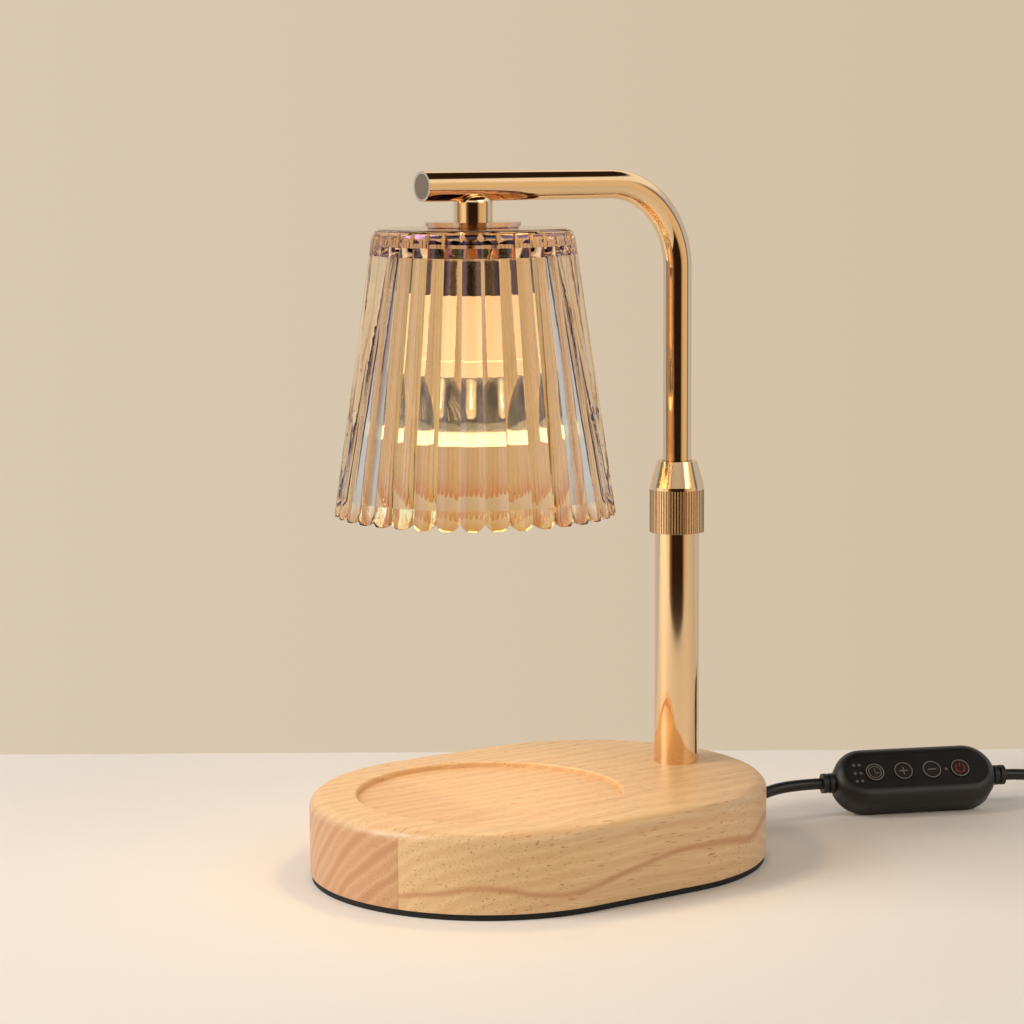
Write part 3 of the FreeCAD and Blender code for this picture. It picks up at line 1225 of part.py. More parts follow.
def coil_path():
    """Turns that spiral in on the floor, climb a layer in one half turn, and spiral out again above."""
    heading = math.radians(number("coil_heading"))
    forward = Vector(math.cos(heading), math.sin(heading), 0)
    outward = Vector(math.sin(heading), -math.cos(heading), 0)
    half_pitch = number("coil_pitch") / 2
    lead = number("cord_dia")
    low = number("cord_radius")
    rise = number("coil_layer_rise")
    here = Vector(number("coil_start_x"), number("coil_start_y"), low)
    radius = number("coil_outer_radius")
    lower_turns = round(number("coil_half_turns"))
    edges = [Part.LineSegment(here - forward * lead, here).toShape()]
    side = 1
    for index in range(2 * lower_turns + 2):
        centre = here - outward * side * radius
        end = centre - outward * side * radius
        quarter = centre + forward * side * radius
        if index == lower_turns:
            climb = rise / 2
            quarter = quarter + Vector(0, 0, climb)
            end = end + Vector(0, 0, rise)
            slope = math.atan(rise / (math.pi * radius))
            sloped = (outward * -side * math.cos(slope) + Vector(0, 0, math.sin(slope))).normalize()
            edges += biarc(here, forward * side, quarter, sloped)
            edges += biarc(quarter, sloped, end, forward * -side)
        else:
            edges.append(Part.Arc(here, quarter, end).toShape())
        radius += half_pitch if index >= lower_turns else -half_pitch
        here = end
        side = -side
    edges.append(Part.LineSegment(here, here + forward * side * lead).toShape())
    print("coil ends at", [round(value, 1) for value in here + forward * side * lead])
    return Part.Wire(edges)


NEIGHBOURS = 8


def least_gap(wire, thickness):
    """The least gap between stretches of a wound tube that aren't next to each other along it."""
    step = thickness / 2
    points = wire.discretize(Number=int(wire.Length / step))
    skip = NEIGHBOURS
    cells = {}
    for index, point in enumerate(points):
        key = (int(point.x // thickness), int(point.y // thickness))
        cells.setdefault(key, []).append(index)
    least = float("inf")
    for (column, line), members in cells.items():
        near = []
        for shift_x in (-1, 0, 1):
            for shift_y in (-1, 0, 1):
                near += cells.get((column + shift_x, line + shift_y), [])
        for one in members:
            for two in near:
                if two > one + skip:
                    least = min(least, (points[one] - points[two]).Length)
    return least - thickness


def make_cord():
    radius = number("cord_radius")
    routed_tube("cord_lamp_side", vectors(LAMP_SIDE_ROUTE), radius)
    routed_tube("cord_plug_side", vectors(PLUG_SIDE_ROUTE), radius)
    path = coil_path()
    print(f"cord_coil: least gap to itself {least_gap(path, number('cord_dia')):.2f}")
    plain_feature("cord_coil", sweep(path, radius, "cord_coil"))
    routed_tube("cord_tail", vectors(TAIL_ROUTE), radius)


# Plug, drawn with its cord entry at the origin and its blades towards +X

def lay_plug(thing):
    before, end = vectors(TAIL_ROUTE)[-2:]
    heading = math.degrees(math.atan2(end.y - before.y, end.x - before.x))
    place = Placement(Vector(end.x, end.y, number("plug_thickness / 2")), Rotation(Vector(0, 0, 1), heading))
    thing.Placement = place.multiply(thing.Placement)
    return thing


def make_plug():
    relief = cone("cord_radius + relief_tip_wall", "plug_relief_radius", "plug_relief_length")
    relief.Placement = Placement(Vector(0, 0, 0), Rotation(Vector(0, 1, 0), 90))
    keep("plug_relief", lay_plug(group(relief)))
    body = new_body("PlugBlank")
    outline = new_sketch(body, "XY_Plane")
    start = "plug_relief_length"
    far = "plug_relief_length + plug_length"
    draw_outline(outline, ((start, "-plug_width / 3"), (f"{start} + plug_length / 3", "-plug_width / 2"),
                           (far, "-plug_width / 2"), (far, "plug_width / 2"),
                           (f"{start} + plug_length / 3", "plug_width / 2"), (start, "plug_width / 3")))
    pad(body, outline, "plug_thickness")
    face = number(far)

    def behind_face(edge):
        return edge.BoundBox.XMin < face - 1e-4

    round_edges(body, "plug_round", behind_face)
    put(body, z="-plug_thickness / 2")
    sockets = []
    blades = []
    for side in ("-", ""):
        place = f"{side}blade_spacing / 2"
        length = "blade_length + blade_root"
        middle = f"{far} - blade_root + ({length}) / 2"
        blades.append(block(length, "blade_thickness", "blade_width", middle, place, "-blade_width / 2"))
        sockets.append(block(length, "blade_thickness + 2 * fixed_clearance",
                             "blade_width + 2 * fixed_clearance",
                             f"{middle} - fixed_clearance", place, "-blade_width / 2 - fixed_clearance"))
    keep("plug_body", lay_plug(cut(body, *sockets)))
    keep("plug_blades", lay_plug(group(*blades)))


STEPS = (
    make_wood_base, make_base_pad, make_post, make_clamp_sleeve, make_collet, make_thrust_ring, make_clamp_nut,
    make_upper_tube, make_arm_fittings, make_glass_shade, make_shade_fixing, make_socket, make_bulb, make_leads,
    make_cord_exit, make_switch_shells, make_switch_face, make_switch_inside, make_switch_collars, make_cord,
    make_plug,
)


def check():
    """Stop if an object failed, or a piece is empty or not valid."""
    for item in document.Objects:
        if "Invalid" in item.State or "Error" in item.State:
            raise RuntimeError(f"{item.Label} failed: {item.State}")
    for label, thing in NODES.items():
        if thing.Shape.isNull() or not thing.Shape.isValid() or not thing.Shape.Solids:
            raise RuntimeError(f"{label} has no valid solid")


def export():
    os.makedirs("parts", exist_ok=True)
    for label, thing in NODES.items():
        thing.Shape.exportStep(os.path.join("parts", label + ".step"))


for step in STEPS:
    step()
document.recompute()
check()
export()
print(len(NODES), "pieces")
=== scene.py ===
# %% [markdown]
# # A candle warmer lamp
# A wooden base carries a telescopic pole with a gooseneck arm. A ribbed glass shade hangs from the arm
# over a halogen reflector bulb, and an inline timer and dimmer sits on the cord. The construction comes
# packed, at real size, and this script gives every piece its finish and models what the construction
# leaves plain.

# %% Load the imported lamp
import math

import bpy
import bmesh
from mathutils import Matrix, Vector


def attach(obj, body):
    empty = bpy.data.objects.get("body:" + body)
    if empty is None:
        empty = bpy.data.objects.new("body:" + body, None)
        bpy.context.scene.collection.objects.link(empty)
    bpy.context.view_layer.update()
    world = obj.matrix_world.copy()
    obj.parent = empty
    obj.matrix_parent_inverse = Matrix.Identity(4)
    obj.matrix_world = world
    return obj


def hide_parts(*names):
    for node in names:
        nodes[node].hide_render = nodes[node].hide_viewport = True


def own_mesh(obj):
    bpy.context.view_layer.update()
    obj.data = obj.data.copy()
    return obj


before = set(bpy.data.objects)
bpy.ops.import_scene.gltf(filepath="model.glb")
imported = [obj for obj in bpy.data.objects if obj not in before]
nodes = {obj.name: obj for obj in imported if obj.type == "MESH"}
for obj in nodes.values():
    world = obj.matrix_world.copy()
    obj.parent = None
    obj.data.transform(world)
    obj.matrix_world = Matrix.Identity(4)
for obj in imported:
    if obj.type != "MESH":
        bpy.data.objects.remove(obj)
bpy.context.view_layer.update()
MM = 0.001
print(len(nodes), "pieces loaded")

# %% [markdown]
# ## Camera
# The photograph is taken with a long lens from low in front of the lamp, so upright lines stay upright
# and the base shows only a little of its top. The camera's place and angles were solved from the pole,
# the base's outline and the shade's rim.

# %% Place the camera
FOCAL_PIXELS = 2768.46
PICTURE_PIXELS = 1024
CAMERA_PLACE = Vector((-0.6476, -0.9149, 0.2937))
CAMERA_PITCH = math.radians(7.46)
CAMERA_ROLL = math.radians(-0.32)
CAMERA_YAW = math.radians(-34.72)

camera_data = bpy.data.cameras.new("camera")
camera_data.sensor_width = 36
camera_data.lens = camera_data.sensor_width * FOCAL_PIXELS / PICTURE_PIXELS
camera = bpy.data.objects.new("camera", camera_data)
bpy.context.scene.collection.objects.link(camera)
turned = Matrix.Rotation(CAMERA_YAW, 4, "Z") @ Matrix.Rotation(math.pi / 2 - CAMERA_PITCH, 4, "X")
camera.matrix_world = Matrix.Translation(CAMERA_PLACE) @ turned @ Matrix.Rotation(CAMERA_ROLL, 4, "Z")
bpy.context.scene.camera = camera
print("lens", round(camera_data.lens, 1), "mm")

# %% [markdown]
# ## Cord
# A mains cord is one smooth curve, so it is a NURBS spline through listed points: a short stretch
# from the base to the switch, and a long one from the switch to the plug. What the picture doesn't show
# is wound into a flat coil of two layers beside the lamp: it spirals in on the floor, climbs a layer and
# spirals out again.

# %% The cord's routes
CORD_DIAMETER = 5 * MM
LAMP_SIDE_ROUTE = [(100.2, 0.0, 10.5), (110.5, 0.0, 10.5), (126.0, 1.6, 13.4), (140.6, -1.3, 14.1),
                   (149.2, -5.1, 14.1)]
PLUG_SIDE_ROUTE = [(226.8, -39.3, 14.1), (241.0, -45.6, 13.9), (257.0, -52.7, 8.0), (275.0, -60.7, 2.5),
                   (299.4, -71.5, 2.5)]
TAIL_ROUTE = [(306.3, -80.6, 8.0), (321.0, -87.1, 8.0), (348.0, -94.0, 7.6), (376.0, -84.0, 7.0),
              (387.0, -62.0, 7.5), (388.0, -42.0, 7.5)]
COIL_START = Vector((304.0, -73.5, 2.5))
COIL_HEADING = math.radians(-24)
COIL_RADIUS = 40.0
COIL_PITCH = 5.6
COIL_RISE = 5.5
COIL_HALF_TURNS = 6
POINTS_PER_HALF_TURN = 8


def coil_points():
    """The coil's turns as spline points, in millimetres, spiralling in, up a layer and out."""
    forward = Vector((math.cos(COIL_HEADING), math.sin(COIL_HEADING), 0))
    outward = Vector((math.sin(COIL_HEADING), -math.cos(COIL_HEADING), 0))
    half_step = math.pi / POINTS_PER_HALF_TURN / 2
    swell = 2 / (1 + math.cos(half_step))
    points = []
    here = COIL_START.copy()
    radius = COIL_RADIUS
    side = 1
    for turn in range(2 * COIL_HALF_TURNS + 2):
        centre = here - outward * side * radius
        for step in range(POINTS_PER_HALF_TURN):
            angle = math.pi * (step + 0.5) / POINTS_PER_HALF_TURN
            point = centre + (outward * math.cos(angle) + forward * math.sin(angle)) * side * radius * swell
            if turn == COIL_HALF_TURNS:
                point.z += COIL_RISE * (1 - math.cos(angle)) / 2
            points.append(point)
        here = centre - outward * side * radius
        if turn == COIL_HALF_TURNS:
            here.z += COIL_RISE
        radius += COIL_PITCH / 2 if turn >= COIL_HALF_TURNS else -COIL_PITCH / 2
        side = -side
    return points


def make_cord(name, points, replaced):
    """One open NURBS curve through the route's points, round and solid.

    A curve's box reaches out by its points' radius, which is 1 m unless it is set. So each point has the
    cord's own radius, and the bevel takes all of it.
    """
    curve = bpy.data.curves.new(name, "CURVE")
    curve.dimensions = "3D"
    curve.bevel_depth = 1.0
    curve.bevel_resolution = 6
    curve.resolution_u = 6
    curve.use_fill_caps = True
    spline = curve.splines.new("NURBS")
    spline.points.add(len(points) - 1)
    for spot, point in zip(spline.points, points):
        spot.co = (point[0] * MM, point[1] * MM, point[2] * MM, 1)
        spot.radius = CORD_DIAMETER / 2
    spline.order_u = 3
    spline.use_endpoint_u = True
    spline.use_smooth = True
    piece = bpy.data.objects.new(name, curve)
    bpy.context.scene.collection.objects.link(piece)
    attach(piece, "base")
    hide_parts(*replaced)
    return piece


lamp_side_cord = make_cord("lamp_side_cord", LAMP_SIDE_ROUTE, ["cord_lamp_side"])
plug_side_points = PLUG_SIDE_ROUTE + [tuple(point) for point in coil_points()] + TAIL_ROUTE
plug_side_cord = make_cord("plug_side_cord", plug_side_points, ["cord_plug_side", "cord_coil", "cord_tail"])
print(len(plug_side_points), "points in the long cord")

# %% [markdown]
# ## Ways of working
# A finish is a small node tree. One helper adds a node, sets it and links it, another turns a hex colour
# as a maker writes it into the linear numbers that the shader works in, and a third gives a pattern its
# real size.

# %% Helpers for finishes


def colour(hex_text, alpha=1.0):
    """An sRGB hex colour as linear numbers."""
    parts = [int(hex_text[index:index + 2], 16) / 255 for index in (1, 3, 5)]
    linear = [part / 12.92 if part <= 0.04045 else ((part + 0.055) / 1.055) ** 2.4 for part in parts]
    return (*linear, alpha)


def set_stops(elements, stops):
    """A colour ramp's stops, from pairs of position and linear colour."""
    elements[0].position, elements[0].color = stops[0]
    elements[1].position, elements[1].color = stops[-1]
    for position, value in stops[1:-1]:
        elements.new(position).color = value


def add_node(tree, kind, settings=None, **inputs):
    """A node with its settings and links.

    An input is a value, or the output socket that feeds it. Its name is the socket's with _ for each space,
    or i and the socket's number where names repeat. The setting "stops" fills a colour ramp.
    """
    made = tree.nodes.new(kind)
    for name, value in (settings or {}).items():
        if name == "stops":
            set_stops(made.color_ramp.elements, value)
        else:
            setattr(made, name, value)
    for name, value in inputs.items():
        numbered = name[0] == "i" and name[1:].isdigit()
        socket = made.inputs[int(name[1:]) if numbered else name.replace("_", " ")]
        if isinstance(value, bpy.types.NodeSocket):
            tree.links.new(value, socket)
        else:
            socket.default_value = value
    return made


def new_finish(name):
    """An empty material; returns it and its node tree."""
    material = bpy.data.materials.new(name)
    material.use_nodes = True
    material.node_tree.nodes.clear()
    return material, material.node_tree


def cells(*sizes):
    """A mapping's scale for a pattern whose cells have these sizes in millimetres along x, y and z."""
    return [1 / (size * MM) for size in sizes]


# %% [markdown]
# ## Polished champagne gold
# The tubes, stem and clamp nut are steel with a bright, warm plating. It is a mirror with a rosy tint, so
# almost all that is seen is the room in it, and a very faint waviness from polishing keeps the
# reflections alive.

# %% Metal finishes


def make_plating():
    """Bright champagne plating; the film of smudges is drawn large enough to show."""
    material, tree = new_finish("champagne_gold_plating")
    place = add_node(tree, "ShaderNodeTexCoord").outputs["Object"]
    ripple_place = add_node(tree, "ShaderNodeMapping", Vector=place, Scale=cells(16.7, 16.7, 83.3))
    ripple = add_node(tree, "ShaderNodeTexNoise", Vector=ripple_place.outputs["Vector"], Scale=1.0,
                      Detail=2.0)
    bump = add_node(tree, "ShaderNodeBump", Strength=0.02, Distance=0.4 * MM, Height=ripple.outputs["Fac"])
    smudge_place = add_node(tree, "ShaderNodeMapping", Vector=place, Scale=cells(11.1, 11.1, 25))
    smudge = add_node(tree, "ShaderNodeTexNoise", Vector=smudge_place.outputs["Vector"], Scale=1.0,
                      Detail=4.0)
    rough = add_node(tree, "ShaderNodeMapRange", Value=smudge.outputs["Fac"], i3=0.05, i4=0.11)
    shader = add_node(tree, "ShaderNodeBsdfPrincipled", Base_Color=colour("#f3d0a2"), Metallic=1.0,
                      Roughness=rough.outputs["Result"], Normal=bump.outputs["Normal"])
    add_node(tree, "ShaderNodeOutputMaterial", Surface=shader.outputs[0])
    return material


def make_plain_metal(name, hex_text, roughness):
    """Turned or plated metal: tool marks, drawn 1 mm wide so that they show, and an uneven gloss."""
    material, tree = new_finish(name)
    place = add_node(tree, "ShaderNodeTexCoord").outputs["Object"]
    grain_place = add_node(tree, "ShaderNodeMapping", Vector=place, Scale=cells(1.11, 1.11, 1.11))
    grain = add_node(tree, "ShaderNodeTexNoise", Vector=grain_place.outputs["Vector"], Scale=1.0,
                     Detail=3.0)
    rough = add_node(tree, "ShaderNodeMapRange", Value=grain.outputs["Fac"], i3=roughness * 0.7,
                     i4=roughness * 1.3)
    bump = add_node(tree, "ShaderNodeBump", Strength=0.15, Distance=0.1 * MM, Height=grain.outputs["Fac"])
    shader = add_node(tree, "ShaderNodeBsdfPrincipled", Base_Color=colour(hex_text), Metallic=1.0,
                      Roughness=rough.outputs["Result"], Normal=bump.outputs["Normal"])
    add_node(tree, "ShaderNodeOutputMaterial", Surface=shader.outputs[0])
    return material


plating = make_plating()
zinc_steel = make_plain_metal("zinc_plated_steel", "#c4c1bd", 0.3)
turned_brass = make_plain_metal("turned_brass", "#cfa659", 0.25)
dark_metal = make_plain_metal("blackened_threaded_steel", "#77716b", 0.25)
brushed_cap = make_plain_metal("brushed_champagne_cap", "#a68a6a", 0.3)
print("metal finishes made")

# %% [markdown]
# ## Rubberwood
# The base is one pale, lacquered hardwood block glued from boards. Its grain runs along the base: on the
# sides it shows as long wavy bands with short dark pores, and at the rounded ends the growth rings come
# to the surface. A solid pattern of rings, cut by the block's own shape, gives both without any
# unwrapping. The fibres are drawn two thirds of a millimetre wide, coarser than real ones, so that they
# show.

# %% Wood finish
SEAM_PLACE = -33 * MM
SEAM_LINE = 0.5 * MM
END_GRAIN_FROM = -45 * MM
END_GRAIN_BLEND = 10 * MM
TOP_EDGE = 33 * MM
TOP_EDGE_BLEND = 4 * MM
STREAK_LOWEST = 4 * MM
STREAK_HIGHEST = 22 * MM
STREAK_HALF_WIDTH = 2.6 * MM
# These are pattern sizes, so they stay in millimetres. A wave pattern's rings are a tenth of pi cells
# apart.
RING_SPACING = 9.87
RING_CELL = RING_SPACING / (math.pi / 10)
PORE_WIDTH = 0.35
PORE_LENGTH = 7


def make_wood():
    """Boards with bands, fibres, short pores, one brown streak and a glued seam near the front."""
    material, tree = new_finish("lacquered_rubberwood")
    place = add_node(tree, "ShaderNodeTexCoord").outputs["Object"]
    axes = add_node(tree, "ShaderNodeSeparateXYZ", Vector=place)
    back_board = add_node(tree, "ShaderNodeMath", {"operation": "GREATER_THAN"}, i0=axes.outputs["Y"],
                          i1=SEAM_PLACE)
    at_end = add_node(tree, "ShaderNodeMapRange", Value=axes.outputs["X"], i1=END_GRAIN_FROM,
                      i2=END_GRAIN_FROM + END_GRAIN_BLEND, i3=1.0, i4=0.0)
    below_top = add_node(tree, "ShaderNodeMapRange", Value=axes.outputs["Z"], i1=TOP_EDGE - TOP_EDGE_BLEND,
                         i2=TOP_EDGE, i3=1.0, i4=0.0)
    end_side = add_node(tree, "ShaderNodeMath", {"operation": "MULTIPLY"}, i0=at_end.outputs["Result"],
                        i1=below_top.outputs["Result"])
    end_grain = add_node(tree, "ShaderNodeMath", {"operation": "MULTIPLY"}, i0=end_side.outputs[0],
                         i1=back_board.outputs[0])
    wander_place = add_node(tree, "ShaderNodeMapping", Vector=place, Scale=cells(143, 83.3, 83.3))
    wander = add_node(tree, "ShaderNodeTexNoise", Vector=wander_place.outputs["Vector"], Scale=1.0,
                      Detail=2.0)
    ring_place = add_node(tree, "ShaderNodeMapping", Vector=place, Scale=cells(50, RING_CELL, RING_CELL),
                          Location=(0, 3.1, 2.2), Rotation=(0, 0.03, 0.02))
    bands = add_node(tree, "ShaderNodeTexWave", {"wave_type": "RINGS", "rings_direction": "X"},
                     Vector=ring_place.outputs["Vector"], Scale=1.0, Distortion=5.0, Detail=3.0,
                     Detail_Scale=0.6)
    fibres_place = add_node(tree, "ShaderNodeMapping", Vector=place, Scale=cells(33.3, 0.667, 0.667))
    fibres = add_node(tree, "ShaderNodeTexNoise", Vector=fibres_place.outputs["Vector"], Scale=1.0,
                      Detail=5.0, Roughness=0.6)
    base_stops = [(0.0, colour("#dfb98a")), (0.55, colour("#e8c798")), (1.0, colour("#e0bd8d"))]
    base = add_node(tree, "ShaderNodeValToRGB", {"stops": base_stops},
                    Fac=bands.outputs["Fac"]).outputs["Color"]
    end_base_stops = [(0.0, colour("#c29168")), (0.5, colour("#d4a982")), (1.0, colour("#ca9c75"))]
    end_base = add_node(tree, "ShaderNodeValToRGB", {"stops": end_base_stops},
                        Fac=bands.outputs["Fac"]).outputs["Color"]
    boards = add_node(tree, "ShaderNodeMix", {"data_type": "RGBA"}, i0=end_grain.outputs[0], i6=base,
                      i7=end_base)
    fibre_tone_stops = [(0.3, colour("#d9b98d")), (0.7, colour("#ffffff"))]
    fibre_tone = add_node(tree, "ShaderNodeValToRGB", {"stops": fibre_tone_stops},
                          Fac=fibres.outputs["Fac"]).outputs["Color"]
    fibred = add_node(tree, "ShaderNodeMix", {"data_type": "RGBA", "blend_type": "MULTIPLY"}, i0=0.3,
                      i6=boards.outputs[2], i7=fibre_tone)
    pores_place = add_node(tree, "ShaderNodeMapping", Vector=place,
                           Scale=cells(PORE_LENGTH, 2 * PORE_WIDTH, 2 * PORE_WIDTH))
    pores = add_node(tree, "ShaderNodeTexNoise", Vector=pores_place.outputs["Vector"], Scale=1.0,
                     Detail=1.0)
    pore_mask_stops = [(0.65, (0, 0, 0, 1)), (0.71, (1, 1, 1, 1))]
    pore_mask = add_node(tree, "ShaderNodeValToRGB", {"stops": pore_mask_stops},
                         Fac=pores.outputs["Fac"]).outputs["Color"]
    pore_amount = add_node(tree, "ShaderNodeMath", {"operation": "MULTIPLY"}, i0=pore_mask, i1=0.75)
    pored = add_node(tree, "ShaderNodeMix", {"data_type": "RGBA"}, i0=pore_amount.outputs[0],
                     i6=fibred.outputs[2], i7=colour("#a9764a"))
    streak_middle = add_node(tree, "ShaderNodeMapRange", Value=wander.outputs["Fac"], i1=0.3, i2=0.7,
                             i3=STREAK_LOWEST, i4=STREAK_HIGHEST)
    streak_away = add_node(tree, "ShaderNodeMath", {"operation": "SUBTRACT"}, i0=axes.outputs["Z"],
                           i1=streak_middle.outputs["Result"])
    streak_size = add_node(tree, "ShaderNodeMath", {"operation": "ABSOLUTE"}, i0=streak_away.outputs[0])
    streak = add_node(tree, "ShaderNodeMapRange", {"interpolation_type": "SMOOTHSTEP"},
                      Value=streak_size.outputs[0], i1=0.0, i2=STREAK_HALF_WIDTH, i3=0.62, i4=0.0)
    right_only = add_node(tree, "ShaderNodeMath", {"operation": "SUBTRACT"}, i0=1.0,
                          i1=end_grain.outputs[0])
    streak_here = add_node(tree, "ShaderNodeMath", {"operation": "MULTIPLY"}, i0=streak.outputs["Result"],
                           i1=right_only.outputs[0])
    streaked = add_node(tree, "ShaderNodeMix", {"data_type": "RGBA"}, i0=streak_here.outputs[0],
                        i6=pored.outputs[2], i7=colour("#b9794c"))
    seam_away = add_node(tree, "ShaderNodeMath", {"operation": "SUBTRACT"}, i0=axes.outputs["Y"],
                         i1=SEAM_PLACE)
    seam_size = add_node(tree, "ShaderNodeMath", {"operation": "ABSOLUTE"}, i0=seam_away.outputs[0])
    seam = add_node(tree, "ShaderNodeMapRange", Value=seam_size.outputs[0], i1=SEAM_LINE / 5, i2=SEAM_LINE,
                    i3=0.35, i4=0.0)
    seamed = add_node(tree, "ShaderNodeMix", {"data_type": "RGBA"}, i0=seam.outputs["Result"],
                      i6=streaked.outputs[2], i7=colour("#9c7148"))
    bump = add_node(tree, "ShaderNodeBump", Strength=0.12, Distance=0.2 * MM, Height=fibres.outputs["Fac"])
    shader = add_node(tree, "ShaderNodeBsdfPrincipled", Base_Color=seamed.outputs[2], Roughness=0.42,
                      Coat_Weight=0.15, Coat_Roughness=0.25, Normal=bump.outputs["Normal"])
    add_node(tree, "ShaderNodeOutputMaterial", Surface=shader.outputs[0])
    return material


rubberwood = make_wood()
print("wood finish made")

# %% [markdown]
# ## Moulded black plastic, rubber and the cord
# The switch is moulded in a mould with a fine spark-eroded skin, so its gloss is broken up by grit under
# half a millimetre wide. The cord's jacket is smoother, and the foot pad is foam rubber with open pores.

# %% Plastic and rubber finishes


def make_moulding(name, hex_text, roughness, grit, depth, lighter=1.35):
    """Moulded plastic or rubber; grit and depth are its skin's grain, across and in height, in mm."""
    material, tree = new_finish(name)
    place = add_node(tree, "ShaderNodeTexCoord").outputs["Object"]
    grain_place = add_node(tree, "ShaderNodeMapping", Vector=place, Scale=cells(grit, grit, grit))
    grain = add_node(tree, "ShaderNodeTexNoise", Vector=grain_place.outputs["Vector"], Scale=1.0,
                     Detail=3.0)
    cloud_place = add_node(tree, "ShaderNodeMapping", Vector=place, Scale=cells(14.3, 14.3, 14.3))
    cloud = add_node(tree, "ShaderNodeTexNoise", Vector=cloud_place.outputs["Vector"], Scale=1.0,
                     Detail=2.0)
    dark = colour(hex_text)
    light = tuple(min(1, part * lighter) for part in dark[:3]) + (1,)
    tone_stops = [(0.35, dark), (0.65, light)]
    tone = add_node(tree, "ShaderNodeValToRGB", {"stops": tone_stops},
                    Fac=cloud.outputs["Fac"]).outputs["Color"]
    bump = add_node(tree, "ShaderNodeBump", Strength=0.35, Distance=depth * MM, Height=grain.outputs["Fac"])
    rough = add_node(tree, "ShaderNodeMapRange", Value=grain.outputs["Fac"], i3=roughness - 0.08,
                     i4=roughness + 0.08)
    shader = add_node(tree, "ShaderNodeBsdfPrincipled", Base_Color=tone, Roughness=rough.outputs["Result"],
                      Normal=bump.outputs["Normal"])
    add_node(tree, "ShaderNodeOutputMaterial", Surface=shader.outputs[0])
    return material


black_abs = make_moulding("spark_textured_black_abs", "#110f0e", 0.42, 0.4, 0.12)
plate_film = make_moulding("satin_polycarbonate_overlay", "#141212", 0.34, 0.3, 0.04)
button_film = make_moulding("satin_button_cap", "#161414", 0.36, 0.3, 0.04)
cord_jacket = make_moulding("smooth_black_pvc_jacket", "#0e0d0d", 0.4, 1.2, 0.05)
black_rubber = make_moulding("moulded_black_rubber", "#191716", 0.5, 0.6, 0.1)
foam_rubber = make_moulding("black_eva_foam", "#141414", 0.85, 0.5, 0.3)
nylon = make_moulding("natural_nylon", "#d9d6cd", 0.45, 0.8, 0.05, 1.05)
silicone = make_moulding("clear_grey_silicone", "#c9c5bf", 0.4, 1, 0.03, 1.05)
lead_sleeve = make_moulding("silicone_glass_fibre_sleeve", "#e3ddd0", 0.7, 0.5, 0.2, 1.05)
circuit_mask = make_moulding("green_solder_mask", "#1f5a3a", 0.35, 3, 0.03)
light_pipe = make_moulding("smoked_light_pipe", "#6f6864", 0.25, 1, 0.02, 1.05)
print("moulded finishes made")

# %% [markdown]
# ## Amber lustre glass
# The shade is pressed soda glass, tinted amber and fumed with a very thin metal film. The tint colours
# what is seen through it and the film adds the cool, purplish sheen where light glances off, so the
# shader is clear glass with a warm colour and a thin film a few hundred nanometres thick.

# %% Glass finishes and the lit bulb
SHADE_RIM = 149 * MM
SHADE_TOP = 265 * MM
BULB_RIM = 184 * MM
SOCKET_FOOT = 200 * MM
SOCKET_TOP = 238 * MM


def make_amber_glass():
    """Amber glass, deeper in colour where it is thick at the rim and the shoulder."""
    material, tree = new_finish("amber_lustre_glass")
    place = add_node(tree, "ShaderNodeTexCoord").outputs["Object"]
    flow_place = add_node(tree, "ShaderNodeMapping", Vector=place, Scale=cells(18.2, 18.2, 71.4))
    flow = add_node(tree, "ShaderNodeTexNoise", Vector=flow_place.outputs["Vector"], Scale=1.0, Detail=3.0)
    bump = add_node(tree, "ShaderNodeBump", Strength=0.12, Distance=1.2 * MM, Height=flow.outputs["Fac"])
    axes = add_node(tree, "ShaderNodeSeparateXYZ", Vector=place)
    height = add_node(tree, "ShaderNodeMapRange", Value=axes.outputs["Z"], i1=SHADE_RIM, i2=SHADE_TOP)
    tint_stops = [(0.0, colour("#f3bd7c")), (0.06, colour("#fadfb8")), (0.14, colour("#fdeacb")),
                  (0.88, colour("#fdebce")), (0.95, colour("#f3c08c")), (1.0, colour("#f6c99b"))]
    tint = add_node(tree, "ShaderNodeValToRGB", {"stops": tint_stops},
                    Fac=height.outputs["Result"]).outputs["Color"]
    shader = add_node(tree, "ShaderNodeBsdfPrincipled", Base_Color=tint, Roughness=0.015, IOR=1.5,
                      Transmission_Weight=1.0, Thin_Film_Thickness=340.0, Thin_Film_IOR=1.7,
                      Normal=bump.outputs["Normal"])
    add_node(tree, "ShaderNodeOutputMaterial", Surface=shader.outputs[0])
    return material


